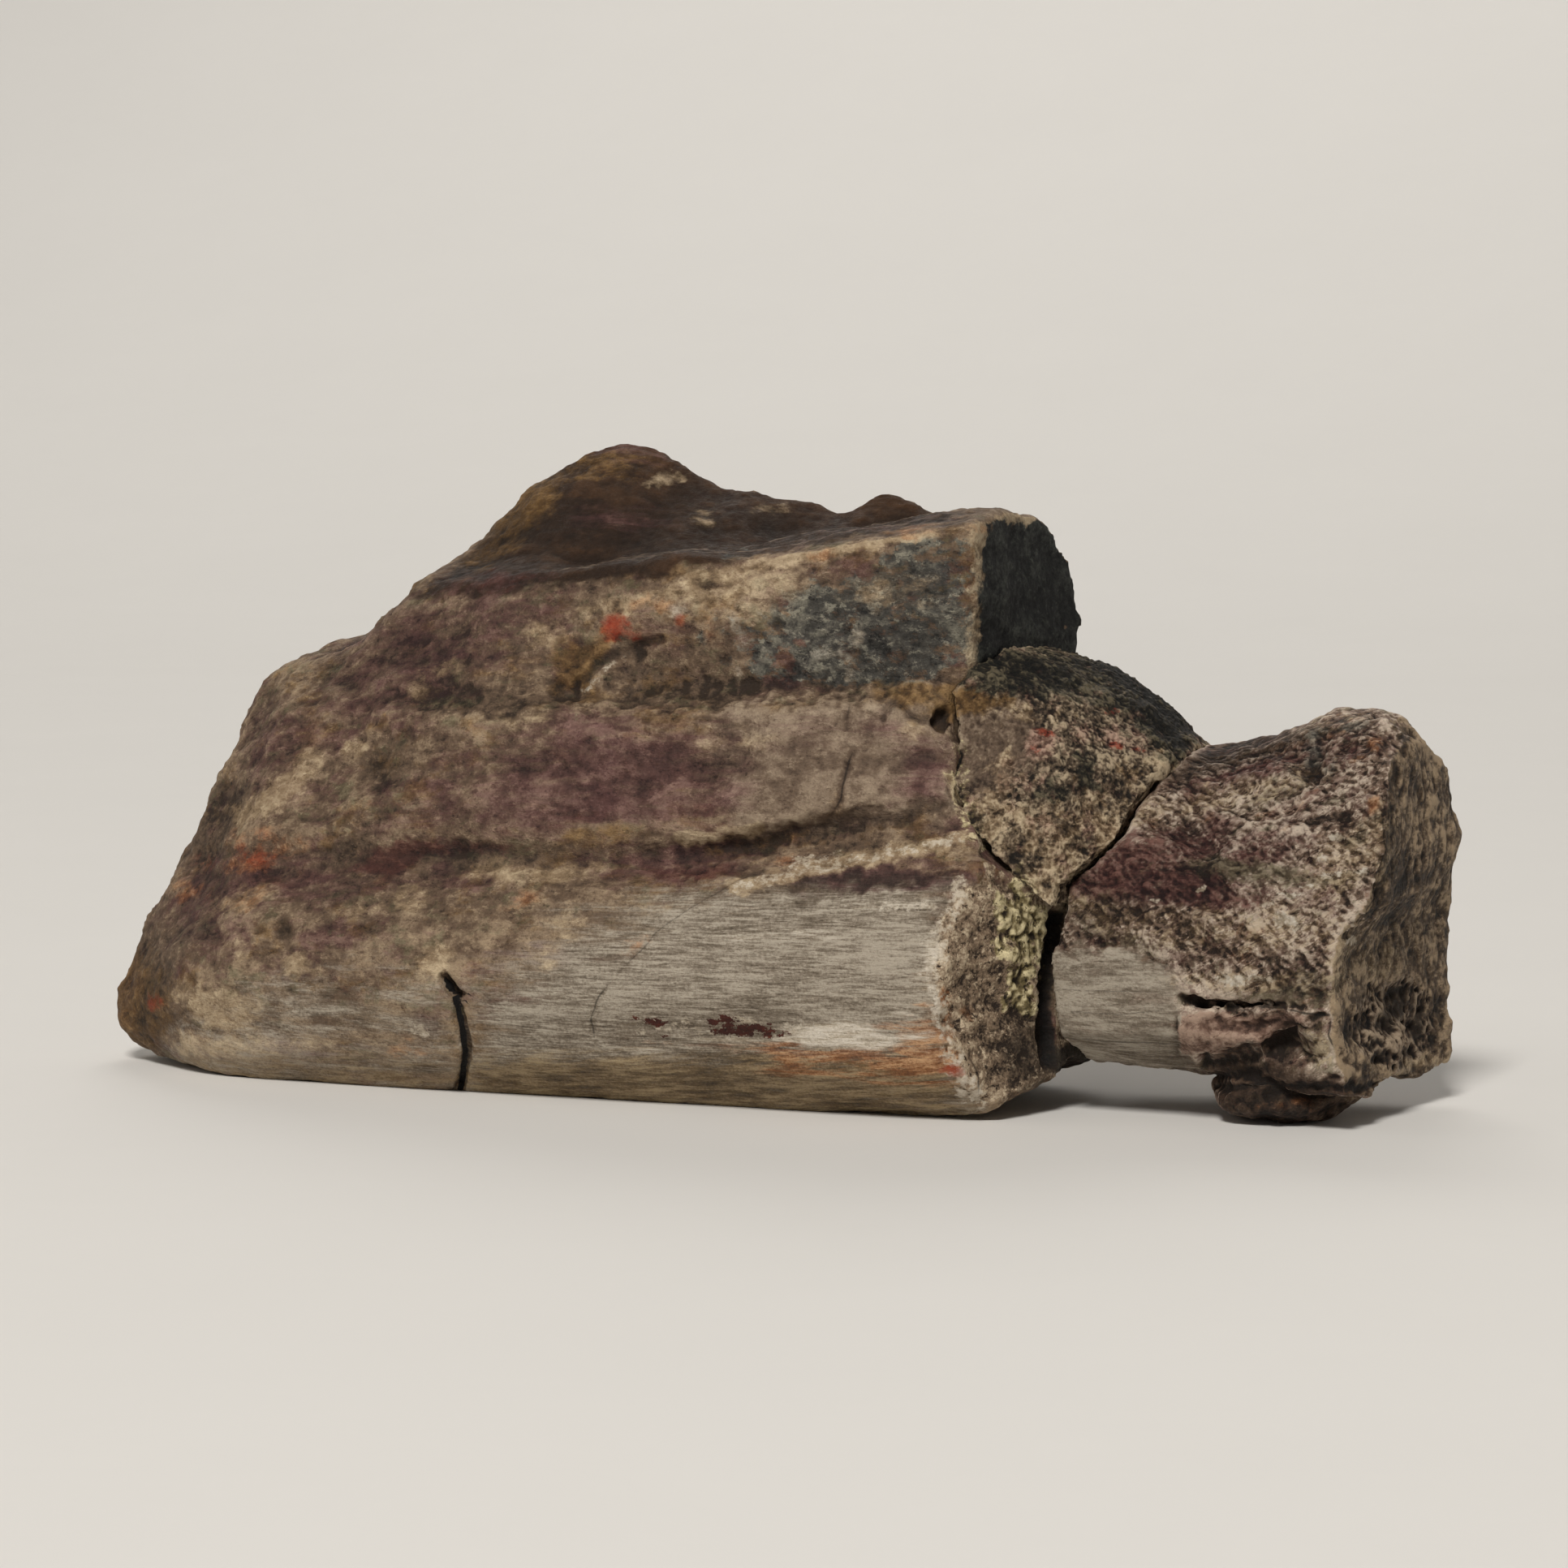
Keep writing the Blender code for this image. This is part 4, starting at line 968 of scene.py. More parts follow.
# The lit top edge of the second bone, which gets a painted highlight.
LIT_TOP_STRIP = [(850, 714), (960, 690), (1050, 667), (1200, 643), (1268, 632)]
FLAKE_MARKS = [
    (806, 1264, 9, 12, 20, 1), (820, 1256, 13, 6, 30, 1), (800, 1276, 6, 6, 0, 0.8),
    (876, 1259, 12, 5, -12, 0.8), (898, 1258, 9, 8, 0, 1), (888, 1272, 8, 5, 0, 0.9),
    (906, 1274, 8, 5, 0, 0.9), (926, 1268, 16, 6, 0, 1), (944, 1276, 12, 4, 0, 0.9),
    (958, 1268, 13, 4, -16, 0.8), (974, 1276, 9, 3, 0, 0.6)
]
PALE_SLAB = [(880, 870), (1165, 862), (1185, 1000), (900, 1030)]
# A corner of the rib's broken end that is painted dark: painted shade.
SHADED_CORNER = (1262, 1296, 34, 44, 0, 1)
SHAFT_SEAM = [(1062, 1092), (1120, 1082), (1196, 1066)]
CLEFT_TOP = [(547, 1203), (556, 1219), (567, 1236)]
CLEFT_LOW = [(557, 1221), (564, 1245), (571, 1270), (574, 1294), (571, 1322), (563, 1360)]
RIB_LINES = [
    (CLEFT_TOP, 5.2),
    (CLEFT_LOW, 4.2),
    (CLEFT_BRANCH, 4.0),
    (HAIRLINE, 1.5),
    (HAIRLINE_UP, 1.1),
    (OBLIQUE_CRACK, 1.6),
    (OBLIQUE_CRACK_TOP, 1.2),
    (CURL, 1.2),
    ([(872, 780), (905, 766)], 1.2),
    ([(1048, 1300), (1100, 1302), (1150, 1304)], 1.2),
    ([(1060, 1318), (1110, 1316)], 1.4),
    ([(860, 1198), (930, 1196)], 1.1),
    ([(1195, 1300), (1204, 1324), (1206, 1350)], 1.6),
]

# %% [markdown]
# The masks are worked out on the sculpted skin, so that they follow its new shape. Where a stain
# also takes in a whole face or the far side, the two are joined by taking the stronger one.

# %% Rib block masks
look = study(rib)
side_face = look.normal[:, 0]
end_face = smooth_step(0.75, 0.9, side_face) * smooth_step(30, 33, look.x)
# The bone's grey is laid fully on the lit right of the shaft and fades towards its dim left end: painted
# light.
lit = smooth_step(560, 860, look.u + 1.5 * (look.v - 1180))
shaft_front = area(look, SHAFT, 110, 16) * (0.42 + 0.58 * lit)
shaft_left = area(look, SHAFT_LEFT, 110, 16)
under = smooth_step(9, 4, look.z) * look.away * smooth_step(12, 4, look.y) * smooth_step(40, 34, look.x)
hump = most(area(look, HUMP_OUTLINE, 24, 10), smooth_step(58, 66, look.z) * look.away)
behind_bone = smooth_step(54, 58, look.z) * smooth_step(0, 12, look.x) * look.away
# A painted highlight along the second bone's lit top edge.
lit_top_strip = line(look, LIT_TOP_STRIP, 6, 12, 6) * smooth_step(0.9, 0.6, look.normal[:, 2])
lime_bridges = [0.4 * line(look, points, 12, 20, 9) for points in CRUSTED_CRACKS[:2]]


def by_chance(look, size, low, high, seed):
    """A stain from noise alone, for the sides that the photograph doesn't show."""
    return smooth_step(low, high, rough(look.mm, size, seed)) * look.away


keep_masks(rib, {
    "bone": most(shaft_front, 0.5 * shaft_left, 0.9 * under),
    "olive": most(smooth_step(1275, 1330, look.v) * most(shaft_front, 0.5 * shaft_left), under),
    "pale": most(area(look, PALE_SLAB, 60, 14), by_chance(look, 18, 0.1, 0.5, 64)),
    "mauve": most(patches(look, MAUVE_DABS, 0.9, 12), by_chance(look, 22, 0.0, 0.5, 61) * 0.8),
    "maroon": most(patches(look, MAROON_DABS, 0.8, 9), by_chance(look, 16, 0.35, 0.6, 65) * 0.6),
    "cream": most(
        patches(look, CREAM_DABS),
        line(look, PALE_STRIPE, 7, 10, 6),
        0.9 * line(look, CREAM_BAND, 8, 10, 5),
        by_chance(look, 9, 0.2, 0.6, 62) * 0.6,
    ),
    "lime": most(
        patches(look, LIME_DABS, 0.6, 6),
        0.55 * line(look, RIB_RIM, 8, 12, 9),
        0.45 * line(look, PALE_STRIPE, 4, 7, 4),
        0.3 * line(look, SHELL_RIM, 3, 6, 3),
    ),
    "flecks": patches(look, PALE_FLECKS, 0.8, 7),
    # Painted shadow in the gap beside the end block and at its foot.
    "gap": most(line(look, END_GAP, 10, 8, 3), patch(look, GAP_FOOT_SHADOW, 0.4, 3)),
    "white_streaks": patches(look, WHITE_STREAKS, 0.8, 6),
    "rust_streaks": patches(look, RUST_STREAKS, 0.8, 6),
    "rust": most(patches(look, RUST_DABS), by_chance(look, 8, 0.4, 0.7, 66) * 0.4),
    "red": patches(look, RED_DABS, 0.6, 5),
    "ochre": most(patches(look, OCHRE_DABS), by_chance(look, 12, 0.2, 0.6, 63) * 0.7),
    "hump": hump * (1 - end_face),
    "blue": most(patches(look, BLUE_DABS, 0.9, 12), behind_bone * 0.6),
    "blue_end": end_face * smooth_step(48, 52, look.z),
    # Cream on the second bone's right edge, and a painted highlight along its lit top edge.
    "edge": most(0.6 * line(look, BONE_EDGE, 3, 12, 9), 0.9 * lit_top_strip),
    "broken_end": most(area(look, RIB_END, 10, 5), end_face * smooth_step(36, 30, look.z)),
    "crust": most(area(look, CRUST_OUTLINE, 16, 9), *lime_bridges),
    # Painted shade in the furrows, under the ledge, in the grooves and pits, along the seam and in the dark
    # corner.
    "crevice_shade": most(
        0.35 * line(look, FURROW, 8, 14, 8),
        0.2 * line(look, FURROW_LOW, 8, 14, 8),
        0.15 * line(look, LEDGE, 5, 16, 12),
        0.5 * line(look, RED_GROOVE, 5, 7, 3),
        0.45 * line(look, SHELL_CURL, 6, 10, 4),
        0.4 * line(look, CURL, 6, 8, 2),
        0.7 * patches(look, PITS, 0.7, 3),
        0.7 * patch(look, SHADED_CORNER),
        0.4 * line(look, SHAFT_SEAM, 6, 12, 8),
    ),
    "mark": patches(look, FLAKE_MARKS, 0.5, 4),
    "light": patches(look, LIGHT_DABS, 0.9, 12),
    "shade": patches(look, SHADE_DABS, 0.9, 9),
})
keep_lines(rib, look, "line", RIB_LINES)
# Painted shade in the hollows and a painted highlight on each ridge, at a fine and a broad scale.
keep_hollow_shade(rib, look, "ridge", 5, 0.14)
keep_hollow_shade(rib, look, "broad", 40, 0.8)

# %% [markdown]
# The rib block's finish begins with its noises. Tear breaks up the edges of stains, grit is the
# finest grain, and the grains of the bone are drawn out along it. Flake and pit are crisp: a noise
# is cut off at a level, so that each chip has a hard edge as broken stone has.

# %% Rib block noises
material, tree, shader = start_finish("rib_in_rock_finish")
tear = speckle(tree, 3.0, (1.6, 1, 1), seed=5.0)
tear_fine = speckle(tree, 0.8, (1.3, 1, 1), seed=6.0, detail=5.0)
grit = speckle(tree, 0.35, seed=1.0, detail=3.0)
grain = speckle(tree, 0.3, (12, 1, 1), 1, seed=7.0, detail=4.0, bend=0.5)
grain_wide = speckle(tree, 1.6, (8, 1, 1), 1, seed=8.0, detail=7.0, bend=0.6)
slanted = speckle(tree, 1.0, (9, 1, 1), 11, seed=9.0, detail=6.0)
broad = speckle(tree, 14.0, (1.5, 1, 1), seed=4.0, detail=4.0)
warm = speckle(tree, 5.0, (1.5, 1, 1), seed=3.0, detail=5.0)
pink = speckle(tree, 7.0, (1.8, 1, 1), seed=2.0, detail=6.0)
green = speckle(tree, 3.0, (1.5, 1, 1), seed=1.5, detail=5.0)
lumps = beads(tree, 0.9)
flake = ramp(tree, speckle(tree, 0.9, (1.7, 1, 1), seed=30.0, detail=7.0), 0.56, 0.61)
pit = ramp(tree, speckle(tree, 0.8, (1.5, 1, 1), seed=31.0, detail=7.0), 0.57, 0.62)

# %% [markdown]
# A tone is a sum of noises with weights. Rough rock has much tear and grit, the dark hump little,
# and the bone gets nearly all of its tone from the grain.

# %% Rib block tones
chips = [(flake, 0.2), (pit, -0.25)]
blue_chips = [(flake, 0.4), (pit, -0.4)]
tone = tone_of(tree, [(broad, 1.0), (tear, 1.2), (tear_fine, 0.4), (grit, 0.7)], 0.6, chips)
hump_tone = tone_of(tree, [(broad, 1.0), (tear, 0.8), (tear_fine, 0.3), (grit, 0.3)], 0.4, [(flake, 0.1)])
blue_tone = tone_of(tree, [(broad, 0.7), (tear, 1.3), (tear_fine, 0.6), (grit, 0.7)], 0.5, blue_chips)
bone_tone = tone_of(tree, [(grain, 2.6), (grain_wide, 1.4), (grit, 1.2)], 0.5)
low_tone = tone_of(tree, [(slanted, 2.8), (grain, 1.0), (grit, 0.9)], 0.6)
end_tone = tone_of(tree, [(tear, 1.2), (tear_fine, 1.4), (grit, 1.6)], 0.6, [(flake, 0.6), (pit, -0.7)])
crust_tone = tone_of(tree, [(lumps, 1.8), (broad, 1.8), (tear_fine, 1.2), (grit, 0.9)], 0.8, [(pit, -0.8)])

# %% [markdown]
# The finish lays the stains in the order in which they came: grey rock and bone first, mauve and maroon
# soaked into both, then cream with a painted highlight on the second bone's top edge, rust, ochre and white
# lime, and last the painted shade in the crevices, the painted shadow in the gap and the lines.

# %% Rib block finish
colour = shaded(tree, tone, GREY_ROCK)
colour = scattered(tree, colour, shaded(tree, tone, MAUVE), pink, 0.5, 0.64, 0.75)
colour = scattered(tree, colour, shaded(tree, tone, OCHRE), warm, 0.52, 0.66, 0.6)
colour = scattered(tree, colour, shaded(tree, tone, GREEN_ROCK), green, 0.54, 0.66, 0.7)
colour = layered(tree, colour, [
    ("pale", tone, PALE_ROCK, tear, 0.4, 0.35),
    ("bone", bone_tone, GREY_BONE, grain_wide, 0.5, 0.35),
    ("olive", low_tone, OLIVE_BONE, slanted, 0.35, 0.35, 0.9),
    ("hump", hump_tone, HUMP, tear, 0.4, 0.3),
    ("blue", blue_tone, BLUE, tear, 1.3, 0.2, 0.9),
    ("blue_end", blue_tone, BLUE_END, tear, 0.2, 0.2),
    ("mauve", tone, MAUVE, grain_wide, 0.6, 0.45, 0.85),
    ("maroon", tone, MAROON, tear, 0.5, 0.35, 0.85),
    ("broken_end", end_tone, BROKEN_END, tear_fine, 0.3, 0.2),
    ("crust", crust_tone, CRUST, tear, 1.6, 0.2, 0.95),
    ("cream", tone, CREAM, tear, 0.8, 0.4, 0.75),
    # Cream on the second bone's right edge, and a painted highlight along its top edge.
    ("edge", tone, CREAM, tear, 0.9, 0.3, 0.75),
    ("ochre", tone, OCHRE, tear, 0.6, 0.4, 0.8),
    ("rust", tone, RUST, tear, 0.8, 0.4, 0.65),
    ("flecks", tone, LIME, tear, 1.0, 0.45, 0.6),
    ("rust_streaks", low_tone, RUST, grain_wide, 2.0, 0.5, 0.8),
    ("white_streaks", bone_tone, LIME, grain_wide, 0.8, 0.4, 0.9),
    ("lime", tone, LIME, tear_fine, 0.9, 0.3, 0.8),
    ("red", tone, RED, tear, 0.7, 0.5, 0.9),
])
# Painted shade in the crevices.
colour = stain(tree, colour, "crevice_shade", CREVICE_SHADE, tear_fine, 0.4, 0.4, 0.75)
# A painted shadow in the gap beside the end block.
colour = stain(tree, colour, "gap", CRACK_AND_SHADOW_BLACK, tear_fine, 0.3, 0.4, 0.9)
colour = drawn_lines(tree, colour, "line", CRACK_AND_SHADOW_BLACK, tear_fine)
colour = stain(tree, colour, "mark", shaded(tree, tone, FLAKE_RED), tear_fine, 1.0, 0.08)
end_finish(tree, shader, colour, tear_fine, [(tear, 0.5), (tear_fine, 0.35), (grit, 0.12), (grain, 0.08)])
hand_over(rib, material, "rib_block")

# %% [markdown]
# The wedge is a loose chip of speckled rock that fills the notch between the other two pieces. It is
# small and in sharp focus, so its skin is the finest, and its relief is a close granular tooth.

# %% Wedge relief
WEDGE_VOXEL = 0.00021

wedge = stone_skin("wedge_chip", "wedge_fragment", WEDGE_VOXEL)
smooth(wedge, 4)
look = study(wedge)
pocked = smooth_step(0.5, 0.2, cells(look.mm / 1.5, 74)) * smooth_step(0.0, 0.4, rough(look.mm, 4.0, 75))
relief = (
    0.4 * rough(look.mm, 5.0, 70, 2)
    + 0.3 * rough(look.mm, 1.6, 72)
    + 0.3 * np.abs(rough(look.mm, 0.9, 73))
    - 0.25 * pocked
    - 0.15
)
push(wedge, look, fit_to_cracks(look, relief, ["rib_block", "end_block"]))
lighten(wedge)

# %% [markdown]
# The wedge is cream and pink where it is chipped, and its top and its back are coated dark green; on its top
# the dark green also serves as painted shade.
# Near the left crack it is as pale and calm as the slab beside it.

# %% Wedge stains
WEDGE_CREAM = [
    (1240, 1010, 40, 34, 0, 0.7), (1300, 1060, 36, 40, 0, 0.6), (1270, 880, 40, 14, 0, 0.5),
    (1350, 985, 24, 22, 0, 0.5), (1420, 940, 26, 12, 20, 0.6), (1232, 945, 20, 26, 0, 0.5),
    (1362, 1035, 20, 22, 0, 0.8), (1330, 1010, 30, 20, 0, 0.4), (1230, 880, 20, 14, 0, 0.4),
    (1280, 1095, 16, 14, 0, 0.6), (1400, 985, 20, 16, 0, 0.5)
]
WEDGE_PINK = [(1284, 918, 22, 18, 0, 0.8), (1260, 960, 40, 24, 0, 0.4), (1400, 915, 30, 10, 0, 0.5),
              (1350, 900, 36, 14, 0, 0.5), (1290, 1020, 30, 20, 0, 0.3)]
WEDGE_RED = [
    (1286, 902, 14, 5, -15, 0.8), (1276, 922, 8, 6, 0, 0.5), (1377, 918, 10, 4, 0, 0.9),
    (1402, 921, 10, 3, 0, 0.6), (1370, 878, 10, 4, 0, 0.5)
]
# Dark green coating, which also serves as painted shade over the wedge's top right.
WEDGE_GREEN_AND_SHADE = [
    (1338, 948, 12, 22, 0, 0.9), (1330, 925, 10, 8, 0, 0.7), (1320, 846, 90, 16, -8, 0.9),
    (1440, 876, 50, 46, -50, 1), (1400, 838, 60, 24, -30, 1), (1290, 820, 110, 24, 0, 1),
    (1378, 868, 22, 10, 0, 0.9), (1300, 978, 26, 10, 0, 0.7), (1222, 832, 50, 20, 0, 0.9),
    (1344, 972, 20, 8, 0, 0.6), (1300, 958, 10, 8, 0, 0.5), (1452, 920, 16, 20, -40, 0.7)
]
WEDGE_MAUVE = [(1222, 898, 60, 40, 0, 1), (1212, 950, 34, 32, 0, 0.9), (1256, 930, 30, 26, 0, 0.6)]
WEDGE_TAN = [(1196, 862, 30, 16, 0, 1), (1228, 866, 20, 10, 0, 0.7), (1200, 985, 12, 20, 0, 0.4)]
WEDGE_LIGHT = [(1355, 1000, 26, 34, 0, 0.4), (1244, 1012, 44, 36, 0, 0.25), (1300, 1062, 34, 30, 0, 0.2),
               (1380, 900, 40, 14, 0, 0.3)]
WEDGE_SHADE = [
    (1332, 944, 18, 40, 0, 0.7), (1300, 975, 40, 12, 0, 0.6), (1390, 955, 30, 14, 20, 0.4),
    (1230, 975, 24, 10, 0, 0.4), (1322, 1025, 20, 14, 0, 0.4), (1440, 870, 50, 44, -50, 0.9),
    (1390, 830, 60, 20, -30, 0.8), (1300, 820, 80, 12, 0, 0.6), (1215, 1025, 10, 30, -30, 0.5),
    (1240, 1078, 20, 8, -40, 0.6)
]
WEDGE_LINES = [
    ([(1300, 903), (1306, 925), (1314, 948)], 1.4),
    ([(1216, 1046), (1232, 1028), (1254, 1012)], 1.2),
    ([(1330, 955), (1346, 962), (1350, 980)], 1.2),
]

# %% Wedge masks
look = study(wedge)
lime_bridges = [line(look, points, 12, 20, 8) for points in CRUSTED_CRACKS[:2]]
keep_masks(wedge, {
    "cream": most(patches(look, WEDGE_CREAM), by_chance(look, 4, 0.1, 0.5, 76) * 0.7),
    "mauve": patches(look, WEDGE_MAUVE),
    "tan": patches(look, WEDGE_TAN),
    "pink": patches(look, WEDGE_PINK),
    "red": patches(look, WEDGE_RED, 0.6, 4),
    # Dark green coating, with painted shade on the top.
    "green": most(patches(look, WEDGE_GREEN_AND_SHADE), look.away * 0.7),
    "crust": 0.4 * most(*lime_bridges),
    "light": patches(look, WEDGE_LIGHT),
    "shade": patches(look, WEDGE_SHADE),
})
keep_lines(wedge, look, "line", WEDGE_LINES)
# Painted shade in the hollows and a painted highlight on each ridge, at a fine and a broad scale.
keep_hollow_shade(wedge, look, "ridge", 5, 0.1)
keep_hollow_shade(wedge, look, "broad", 40, 0.45)

# %% Wedge finish
material, tree, shader = start_finish("wedge_chip_finish")
tear = speckle(tree, 2.0, seed=15.0)
tear_fine = speckle(tree, 0.6, seed=16.0, detail=5.0)
broad = speckle(tree, 8.0, seed=14.0, detail=4.0)
pink = speckle(tree, 3.0, seed=12.0, detail=6.0)
warm = speckle(tree, 2.4, seed=13.0, detail=5.0)
grit = speckle(tree, 0.35, seed=11.0, detail=3.0)
flake = ramp(tree, speckle(tree, 1.2, (1.4, 1, 1), 20, seed=34.0, detail=8.0), 0.55, 0.6)
pit = ramp(tree, speckle(tree, 1.5, (1.6, 1, 1), -25, seed=35.0, detail=8.0), 0.56, 0.61)
chips = [(flake, 0.3), (pit, -0.4)]
few_chips = [(flake, 0.12), (pit, -0.2)]
tone = tone_of(tree, [(broad, 2.2), (tear, 2.2), (tear_fine, 0.7), (grit, 0.8)], 1.0, chips)
calm_tone = tone_of(tree, [(broad, 1.0), (tear, 1.1), (tear_fine, 0.4), (grit, 0.7)], 0.6, few_chips)
colour = shaded(tree, tone, CHIP)
colour = scattered(tree, colour, shaded(tree, tone, PINK_CHIP), pink, 0.5, 0.64, 0.7)
colour = scattered(tree, colour, shaded(tree, tone, OCHRE), warm, 0.54, 0.68, 0.5)
colour = layered(tree, colour, [
    ("mauve", calm_tone, PALE_ROCK, tear, 0.6, 0.4),
    ("tan", calm_tone, OCHRE, tear, 0.6, 0.4, 0.9),
    ("cream", tone, CREAM, tear, 0.9, 0.35, 0.8),
    ("crust", tone, CRUST, tear_fine, 0.6, 0.3, 0.9),
    ("pink", tone, PINK_CHIP, tear, 0.7, 0.4, 0.8),
    # Dark green coating, with painted shade on the top.
    ("green", tone, GREEN_COAT_AND_SHADE, tear, 0.9, 0.25, 0.95),
    ("red", tone, RED, tear_fine, 0.7, 0.3, 0.8),
])
colour = drawn_lines(tree, colour, "line", CRACK_AND_SHADOW_BLACK, tear_fine)
end_finish(tree, shader, colour, tear_fine, [(tear, 0.5), (tear_fine, 0.4), (grit, 0.12)])
hand_over(wedge, material, "wedge_fragment")

# %% [markdown]
# The end block is the rib's spongy end. Its cortical stub is as smooth as the shaft, and above it the
# broken inside of the bone shows as short fibres that run down to the right. Its end face is dusty.

# %% End block landmarks
END_VOXEL = 0.00026
STUB = [(1290, 1168), (1400, 1172), (1436, 1192), (1456, 1228), (1452, 1260), (1458, 1290), (1490, 1335),
        (1284, 1335)]
FIBRE_AREA = [(1300, 1090), (1420, 980), (1500, 920), (1600, 895), (1700, 880), (1715, 1000), (1705, 1110),
              (1650, 1165), (1640, 1222), (1460, 1225), (1440, 1185), (1400, 1168), (1300, 1165)]
SLIT = [(1455, 1233), (1475, 1238), (1510, 1240), (1545, 1240), (1580, 1243)]
SLIT_PITS = [
    (1466, 1234, 11, 6, 0, 1), (1482, 1240, 8, 5, 0, 1), (1515, 1240, 12, 5, 0, 1),
    (1562, 1241, 9, 4, 0, 0.8), (1600, 1240, 8, 4, 0, 0.5), (1622, 1252, 10, 4, 0, 0.5)
]
PINK_SHELF = [(1455, 1246), (1520, 1250), (1610, 1252), (1580, 1278), (1500, 1296), (1455, 1298)]
DARK_STRIP = [(1490, 1306), (1530, 1300), (1568, 1288), (1590, 1270)]
SHELL_HOLLOW = (1586, 1288, 20, 18, 30, 1)
SHELL_SWEEP = [(1604, 1262), (1616, 1285), (1640, 1310), (1668, 1324)]
FLAKE_SEAM = [(1500, 1340), (1560, 1337), (1620, 1338), (1680, 1340), (1750, 1335)]
SPONGE = [(1690, 1212), (1740, 1206), (1764, 1235), (1764, 1290), (1720, 1320), (1680, 1302), (1660, 1270),
          (1676, 1240)]
SPONGE_PITS = [(1720, 1238, 16, 18, 0, 1), (1706, 1262, 12, 13, 0, 1), (1744, 1268, 11, 15, 0, 1),
               (1702, 1304, 12, 8, 0, 0.9), (1728, 1222, 20, 8, 0, 0.8), (1752, 1242, 7, 14, 0, 0.9),
               (1676, 1262, 8, 8, 0, 0.6), (1690, 1288, 9, 7, 0, 0.7), (1734, 1296, 9, 7, 0, 0.7)]
END_EDGE = [(1742, 900), (1716, 935), (1710, 1000), (1710, 1070), (1700, 1120)]
BLUE_GROOVE = [(1612, 962), (1618, 935), (1632, 908), (1660, 896), (1692, 890)]
SMUDGE = [(1616, 1014), (1640, 1008), (1662, 1006)]
TOP_HOLLOW = (1650, 930, 40, 16, 20, 1)
FIBRE_SLOPE = 33
FIBRE_LENGTH = 2.0

# %% [markdown]
# To draw a noise out along the fibres, the points are turned into the fibres' direction, and their
# first coordinate is divided. Lumps then come out FIBRE_LENGTH times as long as they are wide.

# %% End block relief


def along_fibres(look):
    """The points of a skin, drawn out along the fibres in the front face."""
    angle = math.radians(FIBRE_SLOPE)
    along = look.x * math.cos(angle) - look.z * math.sin(angle)
    across = look.x * math.sin(angle) + look.z * math.cos(angle)
    return np.stack([along / FIBRE_LENGTH, look.y, across], 1)


def end_relief(look):
    """The height of the end block's fine form, in millimetres."""
    stub = area(look, STUB, 36, 6)
    fibres = area(look, FIBRE_AREA, 24, 8)
    sponge = area(look, SPONGE, 14, 6)
    other = (1 - stub) * (1 - fibres)
    holes = np.zeros(len(look.u))
    spongy = sponge > 0
    small = smooth_step(0.5, 0.2, cells(look.mm[spongy] / 1.2, 86))
    large = smooth_step(0.6, 0.3, cells(look.mm[spongy] / 2.8, 87))
    holes[spongy] = np.maximum(0.6 * small, large * (0.6 + rough(look.mm[spongy], 2.0, 90)))
    drawn = along_fibres(look)
    height = (
        0.55 * rough(look.mm, 6.0, 81, 2) * (1 - stub)
        + 0.2 * rough(look.mm, 1.8, 82) * (1 - stub)
        + fibres * (0.24 * rough(drawn, 0.65, 83) + 0.3 * np.abs(rough(drawn, 1.8, 88)))
        + fibres * 0.5 * terraces(rough(drawn, 4.5, 89) * 1.5, 0.4)
        + stub * (0.05 * rough(look.mm * (0.07, 1, 1), 0.9, 84) + 0.12)
        + other * (0.12 * rough(look.mm * (1, 1, 0.7), 1.6, 85) + 0.35 * np.abs(rough(look.mm, 3.5, 87)))
        + 0.3 * area(look, PINK_SHELF, 6, 4)
        + 0.3 * line(look, SHELL_SWEEP, 6, 8, 3)
    )
    cut = (
        0.35 * line(look, SLIT, 3, 8, 6)
        + 0.9 * patches(look, SLIT_PITS, 0.7, 5)
        + 0.6 * line(look, DARK_STRIP, 10, 12, 5)
        + 0.7 * patch(look, SHELL_HOLLOW, 0.6, 3)
        + 0.4 * line(look, FLAKE_SEAM, 3, 8, 4)
        + 0.3 * line(look, END_EDGE, 5, 10, 8)
        + 0.7 * patches(look, SPONGE_PITS, 0.7, 6)
        + 0.8 * sponge * holes
        + 0.4 * line(look, BLUE_GROOVE, 6, 10, 4)
        + 0.35 * line(look, SMUDGE, 5, 8, 4)
        + 0.5 * patch(look, TOP_HOLLOW, 0.8, 5)
    )
    return height - cut


# %% Sculpt the end block
end = stone_skin("rib_end_block", "end_block", END_VOXEL)
smooth(end, 5)
look = study(end)
smooth(end, 70, area(look, STUB, 40, 0) * (look.z > FOOT_KEPT))
look = study(end)
push(end, look, fit_to_cracks(look, end_relief(look), ["rib_block", "wedge_fragment"]))
lighten(end)

# %% [markdown]
# The broken bone is streaked purple, olive and cream, and most streaks run down with the fibres.
# Lime lies on it in small bright spots, some of them painted glints, and the flake beneath it is brown,
# darkened further as painted shade under the block.

